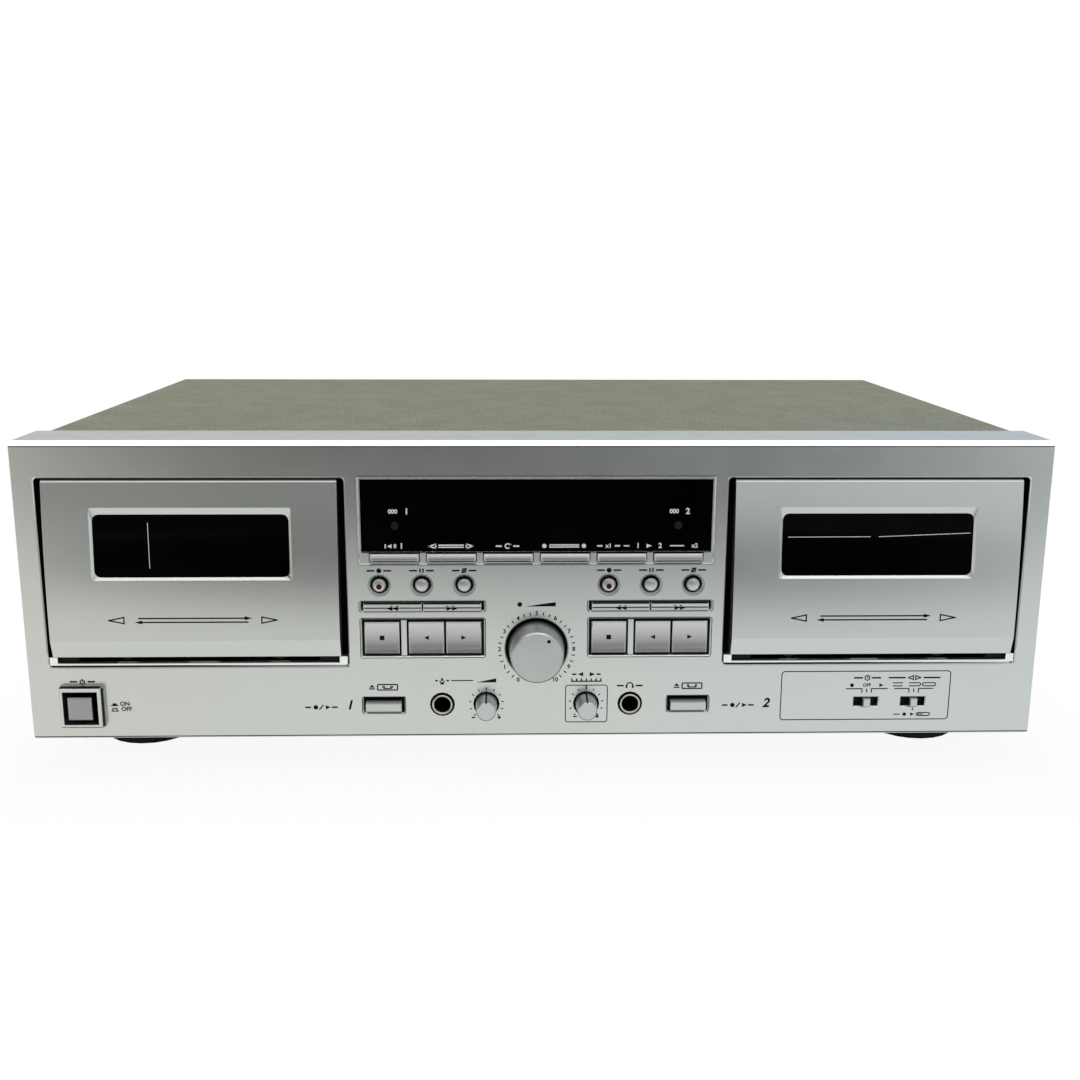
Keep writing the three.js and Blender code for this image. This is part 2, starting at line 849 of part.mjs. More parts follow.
// A key with an upright lower face, a line across it and an upper part that leans back.
function seekKey(spanX, spanZ) {
  const back = wallBack + keyFlangeThickness;
  const [bottom, top] = spanZ;
  const line = bottom + (top - bottom) * seekFaceShare;
  const profile = [
    [back, bottom],
    [back, top],
    [-seekProud + seekStep + seekSlope, top],
    [-seekProud + seekStep, line],
    [-seekProud, line],
    [-seekProud, bottom],
  ];
  const flange = block(spanX, [wallBack, back], outside(spanZ, keyFlange));
  return join(bar(profile, spanX), flange, stem((spanX[0] + spanX[1]) / 2, (bottom + top) / 2, wallBack));
}

function stem(x, z, back) {
  return block(about(x, keyStemHalf), [back + keyFlangeThickness / 2, stemBack], about(z, keyStemHalf));
}

// A round push button: a shallow dome on a collar that stops behind the panel.
function roundButton(x, z, radius, proud, back) {
  const flangeBack = back + keyFlangeThickness;
  const profile = [
    [0, -proud],
    [radius * domeRimShare, -proud + domeFall / 3],
    [radius, -proud + domeFall],
    [radius, back],
    [radius + keyFlange + keyGap, back],
    [radius + keyFlange + keyGap, flangeBack],
    [0, flangeBack],
  ];
  return join(turned(profile, x, z), stem(x, z, back));
}

function ejectButton(sign) {
  const x = ejectX(sign);
  const middle = (x[0] + x[1]) / 2;
  const bottom = ejectZ[0] + ejectKeyRise;
  const top = bottom + ejectKeyHeight;
  const cross = bar(
    [
      [-ejectProud + edgeChamfer, bottom],
      [wallBack + keyFlangeThickness, bottom],
      [wallBack + keyFlangeThickness, top],
      [0, top],
      [-ejectProud, top - ejectSlope],
      [-ejectProud, bottom + edgeChamfer],
    ],
    about(middle, ejectKeyWidth / 2),
  );
  const lap = (ejectWidth - ejectKeyWidth) / 2 + keyFlange;
  const flange = block(
    outside(about(middle, ejectKeyWidth / 2), lap),
    [wallBack, wallBack + keyFlangeThickness],
    outside(ejectZ, keyFlange),
  );
  return join(cross, flange, stem(middle, lowerRow, wallBack));
}

function powerButton() {
  const half = powerKey / 2;
  const bodyBack = frontWall + clearance + powerTravel;
  const made = cap(about(powerX, half), about(powerZ, half), -powerProud, bodyBack, keyBevel, keyBevelDepth);
  const lap = bezelSize / 2 - bezelRim + keyFlange;
  const flange = block(about(powerX, lap), [wallBack, wallBack + keyFlangeThickness], about(powerZ, lap));
  return join(made, flange);
}

// The big level knob, tapered, with a chamfered face, a pointer dimple and its shaft.
function levelKnob() {
  const back = wellDepth - knobLift;
  const profile = [
    [0, -knobProud],
    [knobFaceRadius - knobChamfer, -knobProud],
    [knobFaceRadius, -knobProud + knobChamfer],
    [knobBaseRadius, back],
    [shaftRadius, back],
    [shaftRadius, uprightDepth - board - clearance],
    [0, uprightDepth - board - clearance],
  ];
  const reach = knobFaceRadius - knobDimpleInset;
  const dimple = rod(
    knobDimpleRadius,
    [-knobProud - cutOver, -knobProud + knobDimpleDepth],
    reach * Math.sin(knobRest),
    knobZ + reach * Math.cos(knobRest),
    pinSides,
  );
  return cut(turned(profile, 0, knobZ, knobSides), dimple);
}

// A small tapered knob with a pointer groove along its top and across its face.
function smallKnob(x) {
  const back = frontWall;
  const profile = [
    [0, -smallKnobProud],
    [smallKnobFace - smallKnobChamfer, -smallKnobProud],
    [smallKnobFace, -smallKnobProud + smallKnobChamfer],
    [smallKnobBase, back],
    [shaftRadius, back],
    [shaftRadius, uprightDepth - board - clearance],
    [0, uprightDepth - board - clearance],
  ];
  const top = lowerRow + smallKnobBase + cutOver;
  const groove = bar(
    [
      [-smallKnobProud - cutOver, lowerRow + smallKnobFace - pointerDepth],
      [0, lowerRow + smallKnobBase - pointerDepth],
      [0, top],
      [-smallKnobProud - cutOver, top],
    ],
    about(x, pointerWidth / 2),
  );
  return cut(turned(profile, x, lowerRow, smallSides), groove);
}

// A socket: a bright ring in the panel's hole, a blind bore and the body behind the wall.
function jack(x) {
  const back = wallBack + jackBoreDepth;
  const ringBack = wallBack + cutOver;
  const tube = rod(jackRingRadius, [-jackProud, ringBack], x, lowerRow, smallSides);
  const body = block(about(x, jackBody / 2), [wallBack, back], about(lowerRow, jackBody / 2));
  const bore = turned(
    [
      [0, -cutOver],
      [jackBore + jackChamfer, -cutOver],
      [jackBore + jackChamfer, -jackProud],
      [jackBore, -jackProud + jackChamfer],
      [jackBore, back - rimWall],
      [0, back - rimWall],
    ],
    x,
    lowerRow,
    smallSides,
  );
  return cut(join(tube, body), bore);
}

// A slide switch's lever, on a carrier that runs behind the slot.
function lever(x) {
  const knob = cap(
    about(x, leverWidth / 2),
    about(lowerRow, leverHeight / 2),
    -leverProud,
    wallBack + keyFlangeThickness,
    keyBevel / 2,
    keyBevelDepth,
  );
  const half = switchSlotWidth / 2;
  const carrier = block(
    about(x, half),
    [wallBack, wallBack + keyFlangeThickness],
    about(lowerRow, switchSlotHeight / 2 + keyFlange),
  );
  return join(knob, carrier);
}

// The door's outer moulding: a hollow shell with a curved face, a crease and a bevelled window opening.
function doorPanel(sign) {
  const x = sign * doorX;
  const shell = cut(
    bar(doorProfile(0), about(x, doorHalf)),
    bar(doorProfile(doorWall), about(x, doorHalf - doorWall)),
  );
  const wide = outline(about(x, doorWindowWidth / 2), [windowBottom, windowTop], windowCorner / 3);
  const narrow = outline(
    about(x, doorWindowWidth / 2 - windowSideBevel),
    [windowBottom + windowFloorBevel, windowTop - windowTopBevel],
    windowCorner,
  );
  const over = (z) => doorFace(z) - cutOver;
  const deep = (z) => doorFace(z) + windowBevelDepth;
  return cut(
    shell,
    loft([ring(wide, over), ring(wide, doorFace), ring(narrow, deep), ring(narrow, doorBack)]),
  );
}

// The pane in the door, following the face behind the opening.
function doorWindow(sign) {
  const x = sign * doorX;
  const half = doorWindowWidth / 2 - windowSideBevel + windowLap;
  const spanZ = outside([windowBottom + windowFloorBevel, windowTop - windowTopBevel], windowLap);
  const front = [];
  const back = [];
  for (let i = 0; i <= paneSteps; i++) {
    const z = spanZ[0] + ((spanZ[1] - spanZ[0]) * i) / paneSteps;
    front.push([doorFace(z) + doorWall + clearance, z]);
    back.unshift([doorFace(z) + doorWall + clearance + windowThickness, z]);
  }
  const fill = outline(
    about(x, half - windowLap - clearance),
    inside(spanZ, windowLap + clearance),
    windowCorner - clearance,
  );
  const near = (z) => doorFace(z) + windowBevelDepth;
  const far = (z) => doorFace(z) + doorWall + clearance + windowThickness / 2;
  return join(bar([...front, ...back], about(x, half)), loft([ring(fill, near), ring(fill, far)]));
}

// The frame that takes the cassette: a windowed front, side channels, ledges, lips and the hinge pins.
function cassetteHolder(sign) {
  const x = sign * doorX;
  const top = doorTop - holderTopMargin;
  const bottom = cassetteBottom - holderSide;
  const outer = pocketHalf + holderSide;
  const front = cut(
    block(about(x, outer), [holderFront, pocketFront], [bottom, top]),
    block(
      about(x, doorWindowWidth / 2 + holderWindowMargin),
      [holderFront - cutOver, pocketFront + cutOver],
      outside([windowBottom, windowTop], holderWindowMargin),
    ),
  );
  const pieces = [front];
  for (const end of [-1, 1]) {
    const wall = mirrored(end, [pocketHalf, outer]);
    const ledge = mirrored(end, [pocketHalf - holderLedge, outer]);
    const lip = mirrored(end, [pocketHalf - holderLip, outer]);
    const lugEnd = sillHalf - earWidth - clearance;
    const lug = mirrored(end, [pocketHalf, lugEnd]);
    const pinSpan = mirrored(end, [lugEnd - lugHalf, sillHalf - clearance]);
    const at = ([a, b]) => [x + a, x + b];
    pieces.push(
      block(at(wall), [holderFront, holderBack], [bottom, top]),
      block(at(ledge), [holderFront, holderBack], [bottom, cassetteBottom]),
      block(at(lip), [pocketBack, holderBack], [bottom, top]),
      block(at(lug), [pinDepth, holderBack / 2], about(pinZ, lugHalf)),
      block(at(wall), [holderFront, holderBack / 2], [pinZ, bottom + lugHalf]),
      pin(pinRadius, at(pinSpan), pinDepth, pinZ),
    );
  }
  return join(...pieces);
}

// The well, plate, capstans, flywheels and motor that work one cassette.
function tapeMechanism(sign) {
  const x = sign * doorX;
  const inner = doorOpeningWidth / 2 + wellMargin;
  const outer = inner + wellWall;
  const low = lowerBand - wellMargin;
  const high = displayTop + wellMargin;
  const well = cut(
    block(about(x, outer), [wallBack, plateBack], [low - wellWall, high + wellWall]),
    block(about(x, inner), [wallBack - cutOver, plateFront], [low, high]),
  );
  const pieces = [well];
  const flywheelFront = plateBack + flywheelGap;
  const backPlate = flywheelFront + flywheelThickness + flywheelGap;
  for (const end of [-1, 1]) {
    const capstan = x + (end * capstanSpacing) / 2;
    pieces.push(
      rod(capstanRadius, [pocketFront + capstanTip, flywheelFront + cutOver], capstan, capstanZ, pinSides),
      rod(flywheelRadius, [flywheelFront, flywheelFront + flywheelThickness], capstan, capstanZ, innerSides),
      rod(guideRadius, [plateBack - cutOver, backPlate + cutOver], capstan, capstanZ, pinSides),
      guidePost(x + (end * guideSpacing) / 2, cassetteBottom + capstanRise),
      block(
        about(x + end * (outer - wellWall - pillarHalf), pillarHalf),
        [plateBack - cutOver, backPlate + backPlateThickness],
        about(hubZ, pillarHalf),
      ),
    );
  }
  pieces.push(
    block(
      about(x, outer - wellWall),
      [backPlate, backPlate + backPlateThickness],
      [capstanZ - 2 * pillarHalf, hubZ + flywheelRadius],
    ),
    rod(motorRadius, [backPlate, backPlate + motorLength], x, hubZ, innerSides),
  );
  const axles = [-1, 1].map((end) =>
    rod(
      spindleAxleRadius + clearance,
      [plateFront - cutOver, plateBack + cutOver],
      x + (end * hubSpacing) / 2,
      hubZ,
      pinSides,
    ),
  );
  return cut(join(...pieces), ...axles);
}

// A stepped locating post that enters the cassette's own hole.
function guidePost(x, z) {
  return turned(
    [
      [0, pocketBack - cassetteThickness / 2],
      [guideRadius / 2, pocketBack - cassetteThickness / 2],
      [guideRadius, pocketBack - cassetteThickness / 3],
      [guideRadius, pocketBack + cassettePlay],
      [guideRadius + capstanRadius, pocketBack + cassettePlay],
      [guideRadius + capstanRadius, plateFront + cutOver],
      [0, plateFront + cutOver],
    ],
    x,
    z,
    pinSides,
  );
}

// A reel spindle: disc, hub with three driving vanes, a rounded tip and an axle into the plate.
function reelSpindle(sign, end) {
  const x = sign * doorX + (end * hubSpacing) / 2;
  const discBack = plateFront - clearance;
  const tip = pocketFront + spindleTip;
  const hub = turned(
    [
      [0, tip],
      [spindleRadius / 2, tip],
      [spindleRadius, tip + spindleRadius / 2],
      [spindleRadius, discBack - spindleDiscThickness],
      [spindleDiscRadius, discBack - spindleDiscThickness],
      [spindleDiscRadius, discBack],
      [spindleAxleRadius, discBack],
      [spindleAxleRadius, discBack + spindleAxleLength],
      [0, discBack + spindleAxleLength],
    ],
    x,
    hubZ,
    innerSides,
  );
  const vanes = [0, 1, 2].map((i) => {
    const vane = new THREE.BoxGeometry(
      spindleVaneThickness,
      discBack - tip - 2 * spindleRadius,
      spindleRadius + spindleVane,
    );
    vane.translate(0, (discBack + tip) / 2, (spindleRadius + spindleVane) / 2);
    vane.rotateY((2 * Math.PI * i) / 3);
    vane.translate(x, 0, hubZ);
    return solid(vane);
  });
  return join(hub, ...vanes);
}

// The plate that lifts the head and the two pinch rollers to the tape.
function headCarriage(sign) {
  const x = sign * doorX;
  const back = plateFront - clearance;
  const front = back - carriageSheet;
  const headTop = cassetteBottom - headRest;
  const rollerZ = capstanZ - capstanRadius - rollerRadius - headTravel;
  const base = headTop - headHeight;
  const plate = block(about(x, carriageHalf), [front, back], [base, base + carriageHeight]);
  const head = cap(
    about(x, headWidth / 2),
    [base, headTop],
    pocketFront + capstanTip / 2,
    front + carriageSheet / 2,
    carriageSheet,
    carriageSheet,
  );
  const rollers = [-1, 1].map((end) => {
    const at = x + (end * capstanSpacing) / 2;
    const face = pocketFront + capstanTip;
    return join(
      rod(rollerRadius, [face, face + rollerLength], at, rollerZ, innerSides),
      rod(capstanRadius, [face - capstanRadius, back - carriageSheet / 2], at, rollerZ, pinSides),
    );
  });
  return join(plate, head, ...rollers);
}

// Bent sheet cover: top and two sides, with two screws in each side.
function topCover() {
  const radius = coverBend;
  const low = clearance;
  const outer = outline(about(0, coverHalf), [low - 2 * radius, coverTop], radius);
  const inner = outline(about(0, coverHalf - sheet), [low - 3 * radius, coverTop - sheet], radius / 2);
  const shell = cut(
    slab(outer, [bodyFront, bodyDepth]),
    slab(inner, [bodyFront - cutOver, bodyDepth + cutOver]),
    block(about(0, coverHalf + cutOver), [bodyFront - cutOver, bodyDepth + cutOver], [low - 4 * radius, low]),
  );
  const screws = [];
  for (const end of [-1, 1]) {
    for (const y of coverScrewShares.map((share) => bodyFront + share * (bodyDepth - bodyFront))) {
      const span = mirrored(end, [coverHalf - sheet / 2, coverHalf + screwHead]);
      screws.push(sideScrew(span, y, end));
    }
  }
  return join(shell, ...screws);
}

// A screw head along x, drawn in towards its face.
function sideScrew([x0, x1], y, end) {
  const z = coverTop * screwHeightShare;
  const head = new THREE.CylinderGeometry(
    screwRadius * (end > 0 ? 1 : screwTaperShare),
    screwRadius * (end > 0 ? screwTaperShare : 1),
    x1 - x0,
    pinSides,
  );
  head.rotateZ(Math.PI / 2);
  head.translate((x0 + x1) / 2, y, z);
  return solid(head);
}

// Steel tray under the works: floor with cooling slots, turned-up sides and the boards' standoffs.
function bottomChassis() {
  const low = clearance;
  const ys = [bodyFront, rearFront - clearance];
  const floor = block(about(0, insideHalf), ys, [low, floorTop]);
  const pieces = [floor];
  for (const end of [-1, 1]) {
    pieces.push(
      block(mirrored(end, [insideHalf - chassisSheet, insideHalf]), ys, [low, low + chassisFlange]),
    );
  }
  pieces.push(
    block(about(0, insideHalf), [ys[0], ys[0] + chassisSheet], [low, low + chassisFlange / 2]),
  );
  for (const [x, y] of standoffs()) {
    pieces.push(block(about(x, standoffHalf), about(y, standoffHalf), [low, boardBottom - clearance]));
  }
  const slots = [];
  const through = [low - cutOver, floorTop + cutOver];
  for (const end of [-1, 1]) {
    const x = end * (insideHalf - footSideInset - ventLength / 2);
    for (let i = 0; i < ventsPerBank; i++) {
      const y = (ys[0] + ys[1]) / 2 + (i - (ventsPerBank - 1) / 2) * ventPitch;
      slots.push(block(about(x, ventLength / 2), about(y, ventWidth / 2), through));
    }
  }
  return cut(join(...pieces), ...slots);
}

function standoffs() {
  const back = rearFront - boardRearGap - 2 * standoffHalf;
  const front = boardFront + 2 * standoffHalf;
  return [
    [-boardLeft + 2 * standoffHalf, front],
    [boardRight - 2 * standoffHalf, front],
    [-boardLeft + 2 * standoffHalf, back],
    [boardRight - 2 * standoffHalf, back],
  ];
}

// Flat rear sheet with the line sockets and its screws.
function rearPanel() {
  const edge = outline(about(0, insideHalf), [clearance, coverTop - sheet - clearance], coverBend);
  const plate = slab(edge, [rearFront, rearBack]);
  const half = socketPitch / 2 + socketPlateMargin;
  const patch = block(
    about(socketX, half),
    [rearBack - chassisSheet / 2, rearBack + socketPlate],
    about(socketZ, half),
  );
  const sockets = [];
  const bores = [];
  for (const dx of [-1, 1]) {
    for (const dz of [-1, 1]) {
      const x = socketX + (dx * socketPitch) / 2;
      const z = socketZ + (dz * socketPitch) / 2;
      sockets.push(rod(socketOuter, [rearBack, rearBack + socketLength], x, z, innerSides));
      bores.push(
        rod(socketBore, [rearBack + socketPlate, rearBack + socketLength + cutOver], x, z, pinSides),
      );
    }
  }
  const screws = rearScrewShares.map(([sx, sz]) =>
    turned(
      [
        [0, rearBack - chassisSheet / 2],
        [screwRadius, rearBack - chassisSheet / 2],
        [screwRadius, rearBack + screwHead / 2],
        [screwRadius * screwTaperShare, rearBack + screwHead],
        [0, rearBack + screwHead],
      ],
      sx * insideHalf,
      sz * coverTop,
      pinSides,
    ),
  );
  const window = block(
    about(inletX, inletWidth / 2 + clearance),
    [rearFront - cutOver, rearBack + cutOver],
    about(inletZ, inletHeight / 2 + clearance),
  );
  return cut(join(plate, patch, ...sockets, ...screws), ...bores, window);
}

// The mains inlet: a flanged body in the rear panel with two pins in its recess.
function mainsInlet() {
  const face = rearBack + clearance + inletFlangeThickness;
  const floor = face - inletRecessDepth;
  const flange = block(
    about(inletX, inletWidth / 2 + inletFlange),
    [rearBack + clearance, face],
    about(inletZ, inletHeight / 2 + inletFlange),
  );
  const body = block(
    about(inletX, inletWidth / 2),
    [face - inletBody, face],
    about(inletZ, inletHeight / 2),
  );
  const recess = slab(
    outline(
      about(inletX, inletRecessWidth / 2),
      about(inletZ, inletRecessHeight / 2),
      inletRecessHeight / 3,
    ),
    [floor, face + cutOver],
  );
  const pins = [-1, 1].map((end) =>
    rod(
      inletPinRadius,
      [floor - cutOver, floor + inletPinLength],
      inletX + (end * inletPinSpacing) / 2,
      inletZ,
      pinSides,
    ),
  );
  return join(cut(join(flange, body), recess), ...pins);
}

// A moulded foot with a tapered skirt, a raised pad and the well for its screw.
function foot(sign, y) {
  const profile = [
    [0, -footBoreDepth - footPad],
    [footBore, -footBoreDepth - footPad],
    [footBore, -footHeight],
    [footPadRadius, -footHeight],
    [footPadRadius, -footHeight + footPad],
    [footRadius - footTaper - footPad, -footHeight + footPad],
    [footRadius - footTaper, -footHeight + 2 * footPad],
    [footRadius, -footPad],
    [footRadius, 0],
    [0, 0],
  ];
  const made = new THREE.LatheGeometry(
    profile.map(([r, z]) => new THREE.Vector2(r, z)),
    smallSides,
  );
  made.rotateX(Math.PI / 2);
  made.translate(sign * (panelHalf - footSideInset), y, 0);
  return solid(made);
}

// Main board on its standoffs, the upright board behind the keys, and what they carry.
function circuitBoards() {
  const top = boardBottom + board;
  const back = rearFront - boardRearGap;
  const pieces = [
    block([-boardLeft, boardRight], [boardFront, back], [boardBottom, top]),
    block(about(0, tongueHalf), [uprightDepth, boardFront + cutOver], [boardBottom, top]),
    block(
      about(0, middleHalf - cutOver),
      [uprightDepth, uprightDepth + board],
      [uprightMargin, displayTop],
    ),
    block(
      about(0, middleHalf - clearInset - 2 * clearRadius - keyFlange),
      [wallBack + displayPane, uprightDepth + board / 2],
      inside(displayOpening(), displayBorder + 2 * keyGap),
    ),
  ];
  const front = [uprightDepth - board, uprightDepth + board / 2];
  for (const [x, z] of switchPlaces()) {
    pieces.push(block(about(x, 2 * keyStemHalf), front, about(z, keyStemHalf)));
  }
  pieces.push(block(about(0, potHalf), front, about(knobZ, potHalf)));
  for (const x of [-smallKnobX, smallKnobX]) {
    pieces.push(block(about(x, smallKnobHole), front, about(lowerRow, smallKnobHole)));
  }
  const along = (share) => boardFront + share * (back - boardFront);
  for (const [sx, sy, radius, height] of capacitorShares) {
    pieces.push(capacitor(sx * boardLeft, along(sy), radius * boardRise, top, height * boardRise));
  }
  for (const [sx, sy] of chipShares) pieces.push(chip(sx * boardLeft, along(sy), top));
  const notches = Object.values(jackXs).map((x) =>
    block(
      about(x, jackBody / 2 + clearance),
      [wallBack, wallBack + jackBoreDepth + clearance],
      about(lowerRow, jackBody / 2 + clearance),
    ),
  );
  return cut(join(...pieces), ...notches);
}

function capacitor(x, y, radius, floor, height) {
  const can = new THREE.CylinderGeometry(radius, radius, height + board / 2, innerSides);
  can.rotateX(Math.PI / 2);
  can.translate(x, y, floor + (height - board / 2) / 2);
  return solid(can);
}

function chip(x, y, floor) {
  return block(about(x, 2 * boardRise), about(y, boardRise / 2), [floor - board / 2, floor + 2 * board]);
}

// Where each key's switch sits on the upright board.
function switchPlaces() {
  const places = [];
  const middle = ([a, b]) => (a + b) / 2;
  for (const { sign } of sides) {
    for (const span of Object.values(trayKeys(sign))) places.push([middle(span), middle(trayZ)]);
    for (const span of Object.values(seekKeys(sign))) places.push([middle(span), middle(seekZ)]);
    for (const x of roundXs(sign)) places.push([x, roundZ]);
    places.push([middle(ejectX(sign)), lowerRow]);
  }
  for (const span of bars) places.push([middle(span), barZ]);
  for (const x of clearXs) places.push([x, clearZ]);
  return places;
}

// Laminated core, its coil and the mounting tabs.
function transformer() {
  const low = floorTop + clearance;
  const halfX = coreWidth / 2;
  const halfY = coreDepth / 2;
  const core = block(about(transformerX, halfX), about(transformerY, halfY), [low, low + coreHeight]);
  const coil = block(
    about(transformerX, halfX - coilInset),
    about(transformerY, halfY + coilOver),
    [low + coilInset, low + coreHeight - coilInset],
  );
  const tabs = block(
    about(transformerX, halfX + tabLength),
    about(transformerY, halfY / 2),
    [low, low + tabThickness],
  );
  return join(core, coil, tabs);
}

add("front_panel", frontPanel(), silver);
add("display_window", displayPaneNode(), smokedPane);
for (const { name, sign } of sides) {
  add(name + "_door_panel", doorPanel(sign), silver);
  add(name + "_door_window", doorWindow(sign), smokedPane);
  add(name + "_cassette_holder", cassetteHolder(sign), blackPlastic);
  add(name + "_tape_mechanism", tapeMechanism(sign), blackPlastic);
  add(name + "_head_carriage", headCarriage(sign), zincSteel);
  add(name + "_supply_spindle", reelSpindle(sign, -1), blackPlastic);
  add(name + "_takeup_spindle", reelSpindle(sign, 1), blackPlastic);
  roundXs(sign).forEach((x, i) => {
    const button = roundButton(x, roundZ, roundRadius, roundProud, wallBack);
    add(name + "_" + ["record", "pause", "mute"][i] + "_button", button, brightSilver);
  });
  for (const [use, span] of Object.entries(seekKeys(sign))) {
    add(name + "_" + use + "_key", seekKey(span, seekZ), silver);
  }
  for (const [use, span] of Object.entries(trayKeys(sign))) {
    add(name + "_" + use + "_key", key(span, trayZ, keyProud), silver);
  }
  add(name + "_eject_button", ejectButton(sign), silver);
}
bars.forEach((span, i) => {
  const spanX = inside(span, keyGap);
  add("function_key_" + (i + 1), key(spanX, about(barZ, barHeight / 2), barProud, 0), silver);
});
clearXs.forEach((x, i) => {
  const button = roundButton(x, clearZ, clearRadius, clearProud, wallBack + displayPane / 2 + clearance);
  add(sides[i].name + "_counter_button", button, blackPlastic);
});
add("power_button", powerButton(), silver);
add("record_level_knob", levelKnob(), brightSilver);
add("microphone_level_knob", smallKnob(-smallKnobX), brightSilver);
add("pitch_knob", smallKnob(smallKnobX), brightSilver);
add("timer_switch_lever", lever(switchXs[0]), brightSilver);
add("reverse_mode_lever", lever(switchXs[1]), brightSilver);
add("microphone_jack", jack(jackXs.microphone), blackPlastic);
add("headphone_jack", jack(jackXs.headphone), blackPlastic);
add("top_cover", topCover(), coverPaint);
add("bottom_chassis", bottomChassis(), zincSteel);
add("rear_panel", rearPanel(), coverPaint);
add("mains_inlet", mainsInlet(), blackPlastic);
add("circuit_boards", circuitBoards(), boardGreen);
add("power_transformer", transformer(), coreSteel);
for (const { name, sign } of sides) {
  add("foot_front_" + name, foot(sign, footFront), rubberFoot);
  add("foot_rear_" + name, foot(sign, bodyDepth - footRear), rubberFoot);
}

// Stands the deck on z = 0, with the middle of its whole depth on the Z axis.
const frontReach = knobProud;
const rearReach = rearBack + socketLength;
deck.position.set(0, (frontReach - rearReach) / 2, footHeight);

export default deck;
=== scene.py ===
import json
import math

import bmesh
import bpy
from mathutils import Matrix, Vector
from mathutils.bvhtree import BVHTree


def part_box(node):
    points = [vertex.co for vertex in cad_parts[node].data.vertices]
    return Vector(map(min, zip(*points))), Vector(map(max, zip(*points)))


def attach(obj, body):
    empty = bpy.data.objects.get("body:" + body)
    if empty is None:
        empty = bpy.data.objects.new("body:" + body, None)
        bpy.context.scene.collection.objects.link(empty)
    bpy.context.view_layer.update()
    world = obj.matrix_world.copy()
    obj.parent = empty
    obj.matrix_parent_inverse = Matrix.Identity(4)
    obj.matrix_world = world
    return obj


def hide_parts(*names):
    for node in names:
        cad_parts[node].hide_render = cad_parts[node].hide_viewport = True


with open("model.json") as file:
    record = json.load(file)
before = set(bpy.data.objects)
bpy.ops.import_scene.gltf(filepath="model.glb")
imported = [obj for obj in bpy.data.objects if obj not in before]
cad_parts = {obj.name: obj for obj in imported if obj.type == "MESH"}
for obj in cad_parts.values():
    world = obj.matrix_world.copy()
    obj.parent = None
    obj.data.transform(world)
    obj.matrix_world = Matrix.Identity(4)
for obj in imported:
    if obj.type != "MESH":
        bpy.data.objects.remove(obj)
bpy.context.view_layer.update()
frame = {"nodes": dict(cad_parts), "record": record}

# A double cassette deck. Metres, +Z up, the front faces -Y.
# Places and sizes on the deck are in millimetres: x and z from the middle of the front panel's
# lower edge, and depths from its face. Materials, floor and light are in metres.
MM = 0.001
PANEL_DEPTH = 30.8
LOWER_ROW = 14.5  # height of the small controls' row
MIDDLE_HALF = 75.3  # half the width of the display and of the key rows
DOOR_X = 144.65
KNOB_Z = 39.65
SMALL_KNOB_X = 21.7
JACK_X = 40.8
EJECT_MIDDLE = 66.1

panel_low, panel_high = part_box("front_panel")
FACE_Y = panel_high.y - PANEL_DEPTH * MM
PANEL_FLOOR = panel_low.z

SIDES = (("left", -1), ("right", 1))


def on_panel(x, z, y=0.0):
    """A point given in millimetres from the middle of the front panel's lower edge."""
    return Vector((x * MM, FACE_Y + y * MM, PANEL_FLOOR + z * MM))


def link(name, data):
    """A new object of the scene."""
    made = bpy.data.objects.new(name, data)
    bpy.context.scene.collection.objects.link(made)
    return made


def link_mesh(name, mesh):
    """A new object of the scene from a finished bmesh."""
    data = bpy.data.meshes.new(name)
    mesh.to_mesh(data)
    mesh.free()
    return link(name, data)


# Camera, at the photograph's viewing angle
PHOTO_WIDTH = 1080
FOCAL_PIXELS = 1236.4
SENSOR = 36.0
NEAR_CLIP = 0.01
CAMERA_PLACE = (-12.47, 204.18, -508.84)  # x, z and y against the panel
PITCH, YAW, ROLL = (math.radians(a) for a in (12.896, 1.553, 0.228))


def make_camera():
    data = bpy.data.cameras.new("camera")
    data.sensor_width = SENSOR
    data.lens = FOCAL_PIXELS / PHOTO_WIDTH * SENSOR
    data.clip_start = NEAR_CLIP
    camera = link("camera", data)
    turn = Matrix.Rotation(-YAW, 4, "Z") @ Matrix.Rotation(math.pi / 2 - PITCH, 4, "X")
    turn = turn @ Matrix.Rotation(ROLL, 4, "Z")
    camera.matrix_world = Matrix.Translation(on_panel(*CAMERA_PLACE)) @ turn
    bpy.context.scene.camera = camera


# Nodes of a material
def new_material(name):
    made = bpy.data.materials.new(name)
    made.use_nodes = True
    tree = made.node_tree
    shader = next(n for n in tree.nodes if n.type == "BSDF_PRINCIPLED")
    return made, tree, shader


def coordinates(tree):
    return tree.nodes.new("ShaderNodeTexCoord").outputs["Object"]


def noise(tree, scale, detail=2.0, stretch=(1, 1, 1)):
    """Noise with so many features to the metre."""
    place = tree.nodes.new("ShaderNodeMapping")
    place.inputs["Scale"].default_value = stretch
    tree.links.new(coordinates(tree), place.inputs["Vector"])
    made = tree.nodes.new("ShaderNodeTexNoise")
    made.inputs["Scale"].default_value = scale
    made.inputs["Detail"].default_value = detail
    tree.links.new(place.outputs["Vector"], made.inputs["Vector"])
    return made.outputs["Fac"]


def spread(tree, factor, low, high, start=0.3, end=0.7):
    """Maps start ... end, by default a noise's middle range, to low ... high."""
    made = tree.nodes.new("ShaderNodeMapRange")
    made.inputs["From Min"].default_value = start
    made.inputs["From Max"].default_value = end
    made.inputs["To Min"].default_value = low
    made.inputs["To Max"].default_value = high
    tree.links.new(factor, made.inputs["Value"])
    return made.outputs["Result"]


